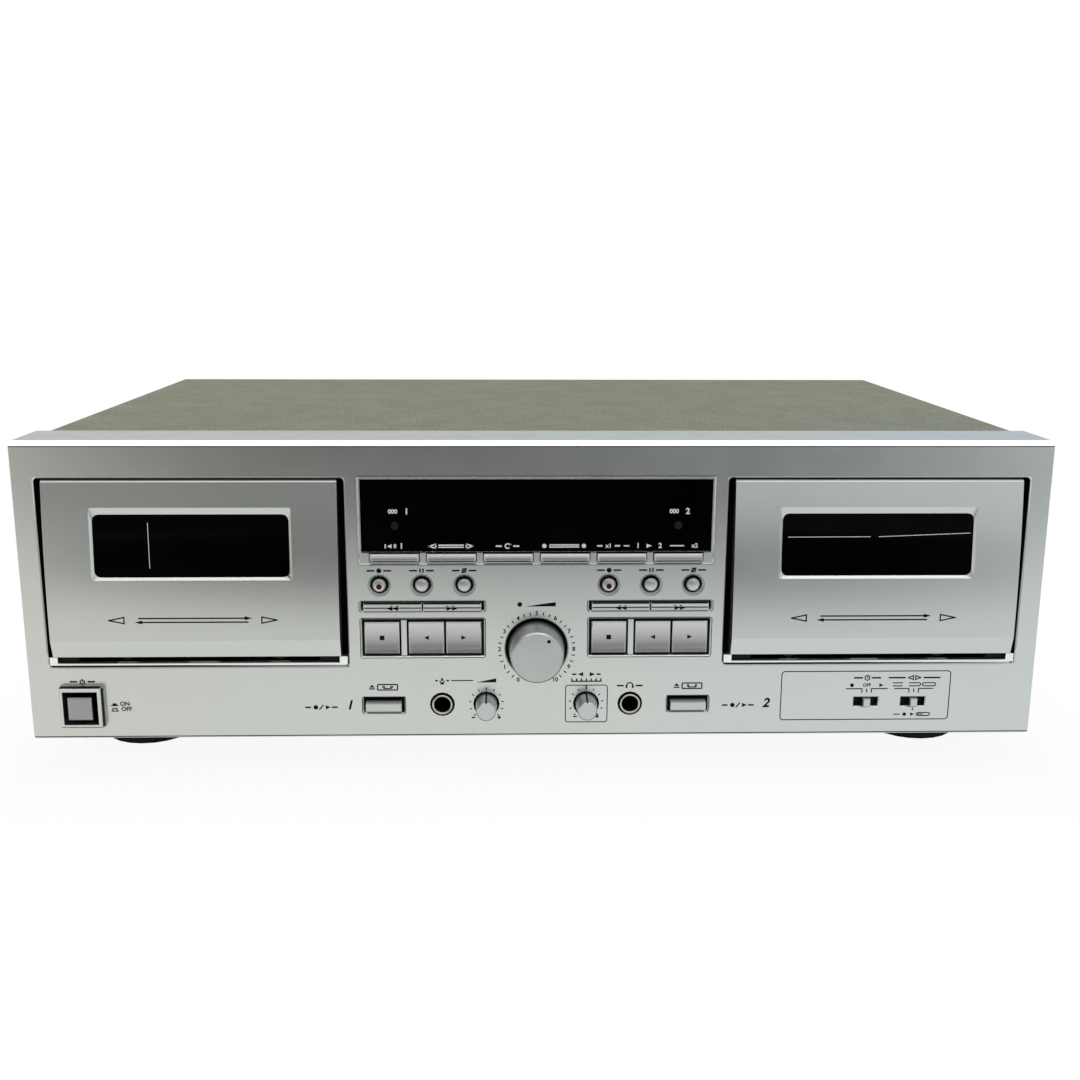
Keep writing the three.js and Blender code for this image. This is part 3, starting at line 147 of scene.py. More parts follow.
def mix(tree, factor, first, second):
    """A colour between two, by a socket or a share."""
    made = tree.nodes.new("ShaderNodeMix")
    made.data_type = "RGBA"
    made.clamp_factor = True
    if isinstance(factor, float):
        made.inputs["Factor"].default_value = factor
    else:
        tree.links.new(factor, made.inputs["Factor"])
    for socket, value in zip((made.inputs[6], made.inputs[7]), (first, second)):
        if isinstance(value, tuple):
            socket.default_value = (*value, 1.0)
        else:
            tree.links.new(value, socket)
    return made.outputs[2]


def scaled(colour, by):
    return tuple(min(1.0, c * by) for c in colour)


def mottled(tree, factor, colour, low, high):
    """A colour that a noise takes from low to high times its strength."""
    return mix(tree, spread(tree, factor, 0, 1), scaled(colour, low), scaled(colour, high))


def combine(tree, operation, first, second=0.0, third=None):
    """A Math node over sockets or numbers."""
    made = tree.nodes.new("ShaderNodeMath")
    made.operation = operation
    for socket, value in zip(made.inputs, (first, second, third)):
        if value is None:
            continue
        if isinstance(value, (int, float)):
            socket.default_value = value
        else:
            tree.links.new(value, socket)
    return made.outputs["Value"]


def times(tree, first, second):
    return combine(tree, "MULTIPLY", first, second)


def vector_maths(tree, operation, *values):
    """A Vector Math node over sockets or vectors."""
    made = tree.nodes.new("ShaderNodeVectorMath")
    made.operation = operation
    for socket, value in zip(made.inputs, values):
        if isinstance(value, tuple):
            socket.default_value = value
        else:
            tree.links.new(value, socket)
    return made


def split(tree, vector):
    made = tree.nodes.new("ShaderNodeSeparateXYZ")
    tree.links.new(vector, made.inputs["Vector"])
    return made.outputs["X"], made.outputs["Y"], made.outputs["Z"]


BEVEL_SAMPLES = 4
EDGE_GAIN = 5.0


def rounded_normal(tree, radius):
    """The normals of a piece as if its edges were rounded."""
    soft = tree.nodes.new("ShaderNodeBevel")
    soft.samples = BEVEL_SAMPLES
    soft.inputs["Radius"].default_value = radius
    return soft.outputs["Normal"]


def edge_mask(tree, radius):
    """1 along the edges of a piece, 0 away from them."""
    flat = tree.nodes.new("ShaderNodeNewGeometry").outputs["Normal"]
    between = vector_maths(tree, "DOT_PRODUCT", rounded_normal(tree, radius), flat)
    turned = combine(tree, "SUBTRACT", 1.0, between.outputs["Value"])
    return combine(tree, "MINIMUM", times(tree, turned, EDGE_GAIN), 1.0)


def bump(tree, shader, height, distance, strength, edge):
    """Bump from a height, over edges with a radius of edge."""
    made = tree.nodes.new("ShaderNodeBump")
    made.inputs["Strength"].default_value = strength
    made.inputs["Distance"].default_value = distance
    tree.links.new(height, made.inputs["Height"])
    tree.links.new(rounded_normal(tree, edge), made.inputs["Normal"])
    tree.links.new(made.outputs["Normal"], shader.inputs["Normal"])


def surface(tree, shader, tone, rough, metallic=0.0, specular=0.5):
    """Sets a shader's colour and roughness sockets and two plain levels."""
    tree.links.new(tone, shader.inputs["Base Color"])
    tree.links.new(rough, shader.inputs["Roughness"])
    shader.inputs["Metallic"].default_value = metallic
    shader.inputs["Specular IOR Level"].default_value = specular


# Materials
FLAKE_GRAIN = 2600
FLAKE_DEPTH = 0.000012
# the near-white tone of the painted highlight along a lacquer's edges
EDGE_HIGHLIGHT_TONE = (0.93, 0.94, 0.94)
RING_PITCH = 0.00035
COVER_STRETCH = (0.8, 0.2, 0.8)  # draws the cover's clouds and flecks out from front to back
COVER_FLECK = (1.55, 1.5, 1.3)  # a fleck's colour against the cover's
COVER_DUST = (0.45, 0.45, 0.38)
COVER_SPECK = (0.05, 0.045, 0.04)


def flake_paint(name, colour, roughness, metallic, edge=0.0002, edge_highlight=0.6, fade=None):
    """Silver lacquer: fine metal flakes, a slow drift in tone, and a painted highlight along the
    edges.

    A fade is painted shade: the tone at two heights, and those heights."""
    made, tree, shader = new_material(name)
    flakes = noise(tree, FLAKE_GRAIN, 1.0)
    tone = mottled(tree, noise(tree, 9, 1.0), colour, 0.98, 1.02)
    paint = mix(tree, 0.5, tone, mottled(tree, flakes, colour, 0.96, 1.04))
    # painted shade: the tone scaled by height
    if fade:
        height = split(tree, coordinates(tree))[2]
        shaded_paint = vector_maths(tree, "SCALE", paint)
        tree.links.new(spread(tree, height, *fade), shaded_paint.inputs["Scale"])
        paint = shaded_paint.outputs["Vector"]
    # painted highlight: the edges take a lighter tone, as where they catch the light
    highlight_share = times(tree, edge_mask(tree, edge * 1.5), edge_highlight)
    rough = spread(tree, noise(tree, 60, 2.0), roughness - 0.01, roughness + 0.01)
    surface(tree, shader, mix(tree, highlight_share, paint, EDGE_HIGHLIGHT_TONE), rough, metallic)
    bump(tree, shader, flakes, FLAKE_DEPTH, 0.06, edge)
    return made


def turned_metal(name, colour, roughness, centre):
    """Aluminium turned on a lathe: fine rings about an axis along Y through the centre."""
    made, tree, shader = new_material(name)
    place = tree.nodes.new("ShaderNodeMapping")
    place.inputs["Location"].default_value = (-centre.x, 0.0, -centre.z)
    tree.links.new(coordinates(tree), place.inputs["Vector"])
    flat = vector_maths(tree, "MULTIPLY", place.outputs["Vector"], (1.0, 0.0, 1.0))
    radius = vector_maths(tree, "LENGTH", flat.outputs["Vector"]).outputs["Value"]
    rings = combine(tree, "SINE", times(tree, radius, 2 * math.pi / RING_PITCH))
    tone = mottled(tree, noise(tree, 1800), colour, 0.94, 1.05)
    rough = spread(tree, noise(tree, 120, 3.0), roughness - 0.03, roughness + 0.04)
    surface(tree, shader, tone, rough, 0.9)
    bump(tree, shader, rings, 0.000004, 0.5, 0.0002)
    return made


def textured_steel(name, colour, roughness):
    """Painted sheet: a pebbled coat, yellowish light flecks, dust and a few dark specks."""
    made, tree, shader = new_material(name)
    base = mottled(tree, noise(tree, 1100, 3.0, COVER_STRETCH), colour, 0.82, 1.16)
    flecks = spread(tree, noise(tree, 1700, 2.0, COVER_STRETCH), 0, 0.5, 0.55, 0.68)
    lit = mix(tree, flecks, base, tuple(c * by for c, by in zip(colour, COVER_FLECK)))
    dust = spread(tree, noise(tree, 420, 1.0), 0, 0.4, 0.74, 0.78)
    specks = spread(tree, noise(tree, 600, 0.0), 0, 0.7, 0.84, 0.86)
    tone = mix(tree, specks, mix(tree, dust, lit, COVER_DUST), COVER_SPECK)
    rough = spread(tree, noise(tree, 60, 3.0), roughness - 0.06, roughness + 0.06)
    surface(tree, shader, tone, rough, specular=0.12)
    bump(tree, shader, noise(tree, 1100, 2.0), 0.00006, 0.6, 0.0004)
    return made


def moulded_plastic(name, colour, roughness, grain=1500, specular=0.5):
    made, tree, shader = new_material(name)
    skin = noise(tree, grain, 2.0)
    rough = spread(tree, noise(tree, 70, 3.0), roughness - 0.06, roughness + 0.06)
    surface(tree, shader, mottled(tree, skin, colour, 0.85, 1.15), rough, specular=specular)
    bump(tree, shader, skin, 0.00002, 0.6, 0.0002)
    return made


def smoked_acrylic(name, clear):
    """Polished dark acrylic: clear is how much light it lets through."""
    made, tree, shader = new_material(name)
    haze = noise(tree, 40, 3.0)
    darkest, dark = (0.0006, 0.0006, 0.0008), (0.0018, 0.0018, 0.002)
    rough = spread(tree, noise(tree, 180, 4.0), 0.03, 0.09)
    surface(tree, shader, mix(tree, spread(tree, haze, 0, 1), darkest, dark), rough, specular=0.01)
    shader.inputs["Transmission Weight"].default_value = clear
    bump(tree, shader, haze, 0.00001, 0.3, 0.0003)
    return made


def zinc_plate(name):
    made, tree, shader = new_material(name)
    clouds = noise(tree, 60, 5.0)
    tone = mix(tree, spread(tree, clouds, 0, 1), (0.42, 0.42, 0.38), (0.58, 0.58, 0.55))
    surface(tree, shader, tone, spread(tree, clouds, 0.28, 0.45), 0.9)
    bump(tree, shader, noise(tree, 1200, 2.0), 0.00001, 0.5, 0.0003)
    return made


def circuit_lacquer(name):
    """Green lacquer over copper tracks that run across and along the board."""
    made, tree, shader = new_material(name)
    across = noise(tree, 160, 0.0, (1, 0.08, 1))
    along = noise(tree, 160, 0.0, (0.08, 1, 1))
    first = spread(tree, across, 0, 1, 0.56, 0.58)
    second = spread(tree, along, 0, 1, 0.58, 0.6)
    tone = mix(tree, first, (0.045, 0.085, 0.03), (0.09, 0.17, 0.06))
    tone = mix(tree, second, tone, (0.11, 0.2, 0.07))
    surface(tree, shader, tone, spread(tree, across, 0.3, 0.42))
    bump(tree, shader, across, 0.00003, 0.4, 0.0002)
    return made


def laminated_core(name):
    """Varnished steel sheets stacked along Y."""
    made, tree, shader = new_material(name)
    sheets = noise(tree, 30, 1.0, (0.5, 60, 0.5))
    tone = mix(tree, spread(tree, sheets, 0, 1), (0.05, 0.05, 0.055), (0.13, 0.13, 0.13))
    surface(tree, shader, tone, spread(tree, sheets, 0.35, 0.55), 0.6)
    bump(tree, shader, sheets, 0.00008, 0.6, 0.0004)
    return made


def ink(name, colour):
    """Screen-printed ink, a little uneven in cover."""
    made, tree, shader = new_material(name)
    cover = noise(tree, 1500, 2.0)
    tone = mottled(tree, cover, colour, 0.85, 1.15)
    surface(tree, shader, tone, spread(tree, cover, 0.4, 0.53), specular=0.08)
    return made


TRAY_PAINTED_SHADE = (0.74, 1.35, 0.0545, 0.0665)  # painted shade: darker at the foot of a transport key, lighter at its top
STRIP_PAINTED_SHADE = (0.9, 1.3, 0.0935, 0.0965)  # the same painted shade on a function key
FINE_EDGE = 0.00015

SILVER = flake_paint("silver_panel", (0.62, 0.635, 0.615), 0.26, 0.92)
# A darker copy of the silver: painted shade on faces that tilt up or aside.
SHADED_SILVER = flake_paint("silver_painted_shade", (0.30, 0.32, 0.34), 0.3, 0.85)
DOOR_SILVER = flake_paint("silver_door", (0.60, 0.615, 0.60), 0.26, 0.92)
# A lighter copy of the silver: a painted highlight on the bar under each door.
SILL_HIGHLIGHT = flake_paint("sill_painted_highlight", (0.86, 0.87, 0.87), 0.2, 0.9)
# The transport and function keys' silvers carry painted shade, darker at the foot and lighter at
# the top.
TRAY_SILVER = flake_paint(
    "silver_transport_keys", (0.46, 0.45, 0.46), 0.26, 0.88, edge_highlight=0.8, fade=TRAY_PAINTED_SHADE
)
STRIP_SILVER = flake_paint(
    "silver_function_keys", (0.48, 0.49, 0.48), 0.28, 0.85, edge_highlight=0.8, fade=STRIP_PAINTED_SHADE
)
KEY_SILVER = flake_paint("silver_keys", (0.58, 0.59, 0.585), 0.30, 0.85, FINE_EDGE)
KNOB_SILVER = turned_metal("turned_level_knob", (0.50, 0.52, 0.51), 0.30, on_panel(0, KNOB_Z))
SMALL_KNOB_SILVER = flake_paint("silver_small_knobs", (0.56, 0.575, 0.565), 0.30, 0.9, FINE_EDGE)
DISPLAY_BLACK = smoked_acrylic("smoked_display", 0.0)
WINDOW_SMOKE = smoked_acrylic("smoked_windows", 0.04)
BLACK = moulded_plastic("black_plastic", (0.008, 0.008, 0.009), 0.55, specular=0.15)
SOCKET_BLACK = moulded_plastic("socket_plastic", (0.006, 0.006, 0.006), 0.5, specular=0.15)
NUT = flake_paint("socket_nuts", (0.62, 0.57, 0.48), 0.3, 0.9, 0.0001)
REAR = moulded_plastic("rear_paint", (0.075, 0.08, 0.072), 0.5, 900, specular=0.3)
COVER = textured_steel("cover_paint", (0.20, 0.213, 0.155), 0.6)
ZINC = zinc_plate("zinc_plate")
BOARD = circuit_lacquer("circuit_lacquer")
CORE = laminated_core("laminated_core")
FOOT = moulded_plastic("foot_plastic", (0.03, 0.03, 0.03), 0.6)
DARK_INK = ink("dark_ink", (0.003, 0.003, 0.0035))
WHITE_INK = ink("white_ink", (0.78, 0.79, 0.79))
RED_INK = ink("red_ink", (0.10, 0.003, 0.006))

FINISHES = (  # the first row with a word that is in a node's name gives its finish
    (SILVER, "front_panel"),
    (DISPLAY_BLACK, "display_window"),
    (STRIP_SILVER, "function_key"),
    (TRAY_SILVER, "power_button"),
    (DOOR_SILVER, "door_panel"),
    (WINDOW_SMOKE, "door_window"),
    (BLACK, "cassette_holder", "tape_mechanism", "spindle", "counter_button"),
    (ZINC, "head_carriage", "bottom_chassis"),
    (KNOB_SILVER, "record_level_knob"),
    (SMALL_KNOB_SILVER, "knob"),
    (SOCKET_BLACK, "jack", "mains_inlet"),
    (KEY_SILVER, "lever", "button", "rewind", "fast_forward"),
    (TRAY_SILVER, "key"),
    (COVER, "top_cover"),
    (REAR, "rear_panel"),
    (BOARD, "circuit_boards"),
    (CORE, "power_transformer"),
    (FOOT, "foot"),
)


def finish_of(name):
    return next(made for made, *words in FINISHES if any(word in name for word in words))


def dress(made, finish):
    made.data.materials.clear()
    made.data.materials.append(finish)


# Coats: which faces of a piece wear its paint, and which wear another finish, some of them painted
# shade or painted highlight
PAINT, BARE, ACCENT, SHADE_COAT = range(4)
PAINT_DEPTH = 0.8  # how far the paint reaches into an opening of the panel; deeper, black is partly unpainted moulding and partly painted shade
CAP_DEPTH = 0.5  # where a key's painted cap ends, behind the panel's face
BEZEL_PAINT = -3.5  # where the paint ends in the power button's bezel
BEZEL_MIDDLE = (-195.3, 14.8)
BEZEL_OPENING = 7.5  # half its width
DIMPLE = (4.9, 46.9)  # the level knob's dimple
DIMPLE_RADIUS = 0.55
DIMPLE_FRONT = -5  # it lies before this depth
POINTER_HALF = 0.37  # half a small knob's pointer groove
POINTER_FOOT = LOWER_ROW + 1
KNOBS = {"microphone_level_knob": -SMALL_KNOB_X, "pitch_knob": SMALL_KNOB_X}
REAR_FACE = 266.7  # depth of the rear panel's outside
REAR_TRIM = 0.1  # sockets and screws stand out further than this
SOCKET_RIM = 1.3  # and a socket's bright rim than this
SOCKETS = (122.8, 42)  # middle of the line sockets
SOCKETS_REACH = 30
ROUND_BUTTONS = ("record_button", "pause_button", "mute_button")
UNDERSIDE = -0.3  # a face whose normal points lower than this
EJECT_SLOPE = (0.08, 0.9)  # how far up the slope of an eject key faces, where it takes painted shade
RIM_FRONT = -0.1  # the panel's rims stand before this depth
FLANK = 0.6  # how far a rim's flank faces up or aside, where it takes painted shade
SILL_Z = (32.5, 36.8)  # heights of the bar under a door and its ears, which take a painted highlight
SILL_X = (80.6, 208.9)
SILL_DEPTH = 4
PANEL_TOP = 129
LEDGE_Z = (76, 78.3)  # the ledge under the display, which takes painted shade
SHELF_Z = (5, 75)  # floors of the slots and trays that face up and keep the paint, as painted light
SHELF_DEPTH = 3.2
OPENINGS_Z = (2, 126)
OPENINGS_HALF = 215


def panel_coat(x, y, z, normal):
    """What a face of the front panel wears."""
    # rims' flanks that face up or aside take painted shade
    if y < RIM_FRONT and normal.y > -FLANK and (normal.z > FLANK or normal.x > FLANK):
        return SHADE_COAT
    if max(abs(x - BEZEL_MIDDLE[0]), abs(z - BEZEL_MIDDLE[1])) < BEZEL_OPENING:
        return BARE if y > BEZEL_PAINT else PAINT
    # the bar under each door takes a painted highlight
    if SILL_Z[0] < z < SILL_Z[1] and SILL_X[0] < abs(x) < SILL_X[1] and y < SILL_DEPTH:
        return ACCENT
    # the panel's top and the ledge under the display take painted shade
    top = z > PANEL_TOP and normal.z > 0.9
    ledge = abs(x) < MIDDLE_HALF and LEDGE_Z[0] < z < LEDGE_Z[1] and normal.z > 0.3
    if top or ledge:
        return SHADE_COAT
    # Deep in the openings the faces are black, both unpainted moulding and painted shade; floors
    # that face up stay silver as painted light.
    lit_shelf = normal.z > 0.5 and SHELF_Z[0] < z < SHELF_Z[1] and y < SHELF_DEPTH
    inside = abs(x) < OPENINGS_HALF and OPENINGS_Z[0] < z < OPENINGS_Z[1] and y > PAINT_DEPTH
    return BARE if inside and not lit_shelf else PAINT


def rear_coat(x, y, z):
    """Paint on the sheet, black sockets and bright screws and rims."""
    if y < REAR_FACE + REAR_TRIM:
        return PAINT
    at_sockets = math.dist((x, z), SOCKETS) < SOCKETS_REACH
    return BARE if at_sockets and y <= REAR_FACE + SOCKET_RIM else ACCENT


def coat_of(node, centre, normal):
    """What a face wears: paint in front, the bare moulding behind it, an accent, or a darker
    silver as painted shade.
    """
    x, z = centre.x / MM, (centre.z - PANEL_FLOOR) / MM
    y = (centre.y - FACE_Y) / MM
    if node == "front_panel":
        return panel_coat(x, y, z, normal)
    if node == "rear_panel":
        return rear_coat(x, y, z)
    if node == "power_button":
        return BARE if y > BEZEL_PAINT else PAINT
    if node in KNOBS and abs(x - KNOBS[node]) < POINTER_HALF and z > POINTER_FOOT:
        return ACCENT
    in_dimple = math.dist((x, z), DIMPLE) < DIMPLE_RADIUS and y < DIMPLE_FRONT
    if node == "record_level_knob" and in_dimple:
        return ACCENT
    # the upper slope of an eject key takes painted shade
    if "eject_button" in node and EJECT_SLOPE[0] < normal.z < EJECT_SLOPE[1] and y < CAP_DEPTH:
        return SHADE_COAT
    if any(word in node for word in ROUND_BUTTONS) and normal.z < UNDERSIDE:
        return PAINT
    return BARE if y > CAP_DEPTH else PAINT


# Fine surfaces over CAD nodes
FLAT_ANGLE = math.radians(0.05)
WELD = 0.002 * MM
ON_PLANE = 0.0001 * MM
ON_FRONT = 0.01 * MM
DOOR_TOP, DOOR_CREASE, DOOR_PROUD = 113.4, 45.0, 4.2
PANE_SET = 1.0  # a pane's face behind the door's
PANE_REACH = 0.35  # what lies nearer to the curve than this is laid on it
PANE_STEP = 1.7
DISHED = ("stop_key", "reverse_key", "play_key", "function_key")
DISH = 0.035  # how far the middle of a key's face lies back, against its height
DISH_STEPS = 10
ROUNDING = 0.15
ROUNDING_STEPS = 2


def divide(mesh, place, normal):
    """Cuts every face where a plane crosses it."""
    parts = mesh.verts[:] + mesh.edges[:] + mesh.faces[:]
    bmesh.ops.bisect_plane(mesh, geom=parts, dist=ON_PLANE, plane_co=place, plane_no=normal)


def dish(mesh):
    """Hollows a key's front face from top to foot."""
    front = min(vertex.co.y for vertex in mesh.verts)
    rim = [vertex.co.z for vertex in mesh.verts if vertex.co.y < front + ON_FRONT]
    low, high = min(rim), max(rim)
    for step in range(1, DISH_STEPS):
        divide(mesh, Vector((0, 0, low + (high - low) * step / DISH_STEPS)), (0, 0, 1))
    for vertex in mesh.verts:
        if vertex.co.y < front + ON_FRONT:
            reach = 2 * (vertex.co.z - low) / (high - low) - 1
            vertex.co.y += DISH * (high - low) * (1 - reach * reach)


def door_face(z):
    """Depth of a door's curved face at a height."""
    share = min(1.0, max(0.0, (DOOR_TOP - z) / (DOOR_TOP - DOOR_CREASE)))
    return -DOOR_PROUD * (1 - (1 - share) ** 2)


def smooth_pane(mesh):
    """Divides a pane along its height and lays its face on the door's curve."""
    z = DOOR_CREASE
    while z < DOOR_TOP:
        divide(mesh, Vector((0, 0, PANEL_FLOOR + z * MM)), (0, 0, 1))
        z += PANE_STEP
    for vertex in mesh.verts:
        z = (vertex.co.z - PANEL_FLOOR) / MM
        face = FACE_Y + (door_face(z) + PANE_SET) * MM
        if abs(vertex.co.y - face) < PANE_REACH * MM:
            vertex.co.y = face


def body_of(node):
    bodies = frame["record"]["behaviour"]["bodies"]
    return next(body for body, nodes in bodies.items() if node in nodes)


fine_faces = {}  # each refined node's faces, for the prints


def refined(node, width=ROUNDING, coats=(), sharp=30.0):
    """A copy of a node's mesh that stands for it, with smooth curves and rounded edges."""
    mesh = bmesh.new()
    mesh.from_mesh(frame["nodes"][node].data)
    bmesh.ops.remove_doubles(mesh, verts=mesh.verts, dist=WELD)
    sharp = math.radians(sharp)
    if width:
        parts = {"verts": mesh.verts, "edges": mesh.edges}
        bmesh.ops.dissolve_limit(mesh, angle_limit=FLAT_ANGLE, **parts)
    if coats:
        for depth in (BEZEL_PAINT, CAP_DEPTH, PAINT_DEPTH):
            divide(mesh, Vector((0, FACE_Y + depth * MM, 0)), (0, 1, 0))
    if "door_window" in node:
        smooth_pane(mesh)
    if any(word in node for word in DISHED):
        dish(mesh)
    for face in mesh.faces:
        face.smooth = True
        middle = face.calc_center_median()
        face.material_index = coat_of(node, middle, face.normal) if coats else PAINT
    for edge in mesh.edges:
        edge.smooth = edge.calc_face_angle(0) < sharp
    mesh.normal_update()
    fine_faces[node] = BVHTree.FromBMesh(mesh)
    piece = link_mesh("fine_" + node, mesh)
    if width:
        rounding = piece.modifiers.new("rounding", "BEVEL")
        rounding.width = width * MM
        rounding.segments = ROUNDING_STEPS
        rounding.limit_method = "ANGLE"
        rounding.angle_limit = sharp
        rounding.harden_normals = True
        rounding.use_clamp_overlap = True
    for finish in (finish_of(node), *coats):
        piece.data.materials.append(finish)
    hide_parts(node)
    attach(piece, body_of(node))


# Flat shapes for the prints
LINE = 0.56
FINE_LINE = 0.46
HAIRLINE = 0.3
CAP_TO_SIZE = 1.38  # a font's size against its capitals' height
BOLDNESS = 0.032
CELL_RINGS = 4
STEP_GAP = 0.03


def outline(*points):
    return [Vector(p) for p in points]


def strip(a, b, width):
    """A straight line between two points."""
    a, b = Vector(a), Vector(b)
    side = (b - a).normalized().orthogonal() * width / 2
    return [a - side, b - side, b + side, a + side]


def polyline(points, width, closed=False):
    ends = zip(points, points[1:] + points[:1]) if closed else zip(points, points[1:])
    shapes = []
    for a, b in ends:
        reach = (Vector(b) - Vector(a)).normalized() * width / 2
        shapes.append(strip(Vector(a) - reach, Vector(b) + reach, width))
    return shapes


def disc(x, z, radius, sides=24):
    steps = [2 * math.pi * i / sides for i in range(sides)]
    return [Vector((x + radius * math.cos(t), z + radius * math.sin(t))) for t in steps]


def arc(x, z, radius, width, start, end, sides=16):
    """A curved line between two angles in degrees, anticlockwise from the right."""
    shapes = []
    for i in range(sides):
        t0, t1 = (math.radians(start + (end - start) * (i + k) / sides) for k in (0, 1))
        inner, outer = radius - width / 2, radius + width / 2
        rim = ((inner, t0), (outer, t0), (outer, t1), (inner, t1))
        shapes.append(outline(*((x + r * math.cos(t), z + r * math.sin(t)) for r, t in rim)))
    return shapes


def cells(x, z, radius):
    """A disc in small cells, which can follow a domed face."""
    width = radius / CELL_RINGS
    rings = [arc(x, z, (i + 0.5) * width, width, 0, 360, 20) for i in range(CELL_RINGS)]
    return [cell for ring in rings for cell in ring]


def side_of(shape, level, sign):
    """The part of a shape above a level, or under it where sign is -1."""
    kept = []
    for a, b in zip(shape, shape[1:] + shape[:1]):
        da, db = (sign * (p.y - level) for p in (a, b))
        if da >= 0:
            kept.append(a)
        if da * db < 0:
            kept.append(a + (b - a) * da / (da - db))
    return kept


def parted(shapes, level):
    """Shapes cut in two at a level, where a key's face has a step."""
    halves = [side_of(shape, level + s * STEP_GAP, s) for shape in shapes for s in (-1, 1)]
    return [half for half in halves if len(half) > 2]


def arrow(x, z, width, height, sign):
    """A filled triangle that points right, or left where sign is -1."""
    half = sign * width / 2
    return outline((x - half, z - height / 2), (x + half, z), (x - half, z + height / 2))


def open_arrow(x, z, width, height, sign, line):
    return polyline([tuple(p) for p in arrow(x, z, width, height, sign)], line, closed=True)


def bar(x0, x1, z0, z1):
    return outline((x0, z0), (x1, z0), (x1, z1), (x0, z1))


def wedge(x0, x1, z, rise):
    """A triangle that grows to the right."""
    return outline((x0, z), (x1, z), (x1, z + rise))


def round_box(x0, x1, z0, z1, radius, line):
    """The outline of a box with rounded corners."""
    sides = [strip((x0 + radius, z), (x1 - radius, z), line) for z in (z0, z1)]
    sides += [strip((x, z0 + radius), (x, z1 - radius), line) for x in (x0, x1)]
    corners = ((x0, z0, 1, 1, 180), (x1, z0, -1, 1, 270), (x1, z1, -1, -1, 0), (x0, z1, 1, -1, 90))
    for x, z, sx, sz, start in corners:
        sides += arc(x + sx * radius, z + sz * radius, radius, line, start, start + 90, 5)
    return sides


def rules(x, z, inner, outer, line=0.7):
    """A short line on each side of a mark."""
    return [strip((x + s * inner, z), (x + s * outer, z), line) for s in (-1, 1)]


def glyphs(text, x, z, height, slant=0.0):
    """The outlines of a few bold characters as filled faces, centred on a point."""
    curve = bpy.data.curves.new("glyphs", "FONT")
    curve.body = text
    curve.size = height * CAP_TO_SIZE
    curve.align_x = curve.align_y = "CENTER"
    curve.resolution_u = 3
    curve.offset = BOLDNESS * curve.size
    curve.shear = slant
    holder = link("glyphs", curve)
    flat = holder.to_mesh()
    corners = [Vector((vertex.co.x + x, vertex.co.y + z)) for vertex in flat.vertices]
    faces = [[corners[i] for i in face.vertices] for face in flat.polygons]
    holder.to_mesh_clear()
    bpy.data.objects.remove(holder)
    bpy.data.curves.remove(curve)
    return faces


# Small signs, about a point
def record_mark(x, z, radius=1.05):
    return [disc(x, z, radius)]


def pause_mark(x, z):
    return [bar(x - 0.95, x - 0.3, z - 0.9, z + 0.9), bar(x + 0.3, x + 0.95, z - 0.9, z + 0.9)]


def mute_mark(x, z):
    return [*arc(x, z, 0.8, LINE, 0, 360), strip((x - 1.1, z - 1.1), (x + 1.1, z + 1.1), LINE)]


def eject_mark(x, z):
    roof = outline((x - 1.2, z - 0.1), (x + 1.2, z - 0.1), (x, z + 1.2))
    return [roof, bar(x - 1.2, x + 1.2, z - 1.0, z - 0.45)]


def cassette_mark(x, z, width, height):
    """The outline of a cassette with its two hubs."""
    hub = width * 0.2
    shapes = round_box(x - width / 2, x + width / 2, z - height / 2, z + height / 2, 0.35, LINE)
    for s in (-1, 1):
        shapes += arc(x + s * hub, z + 0.1, 0.42, FINE_LINE, 0, 360, 10)
    return shapes + [strip((x - hub, z - 0.55), (x + hub, z - 0.55), FINE_LINE)]


def power_mark(x, z):
    return [*arc(x, z, 0.95, LINE, 125, 415), strip((x, z), (x, z + 1.35), LINE)]


def phones_mark(x, z):
    ears = [bar(x + s * 1.35 - 0.4, x + s * 1.35 + 0.4, z - 1.2, z + 0.1) for s in (-1, 1)]
    return [*arc(x, z - 0.1, 1.35, LINE, 0, 180), *ears]


def microphone_mark(x, z):
    cup = arc(x, z + 0.1, 1.0, FINE_LINE, 180, 360)
    stand = strip((x, z - 0.9), (x, z - 1.4), LINE)
    foot = strip((x - 0.8, z - 1.4), (x + 0.8, z - 1.4), LINE)
    return [*cup, bar(x - 0.45, x + 0.45, z - 0.1, z + 1.2), stand, foot]


def clock_mark(x, z):
    hands = [strip((x, z), tip, FINE_LINE) for tip in ((x, z + 0.7), (x + 0.55, z))]
    return [*arc(x, z, 1.1, FINE_LINE, 0, 360), *hands]


def minus_mark(x, z):
    return [strip((x - 0.8, z), (x + 0.8, z), LINE)]


def plus_mark(x, z):
    return [*minus_mark(x, z), strip((x, z - 0.8), (x, z + 0.8), LINE)]


def loop_mark(x, z, kind):
    """A tape's run: once each way, once round, or round and round."""
    half, rise = 2.2, 0.7
    levels = (z + rise, z - rise)
    runs = [strip((x - half, level), (x + half, level), FINE_LINE) for level in levels]
    right = arc(x + half, z, rise, FINE_LINE, -90, 90, 8)
    left = arc(x - half, z, rise, FINE_LINE, 90, 270, 8)
    return runs + ([], right, right + left)[kind]


# Prints, laid on what carries them. Bare numbers are places and sizes on the deck.
PRINT_THICKNESS = 0.03
PRINT_SET = 0.01
BEFORE_ALL = -40  # a depth in front of every control


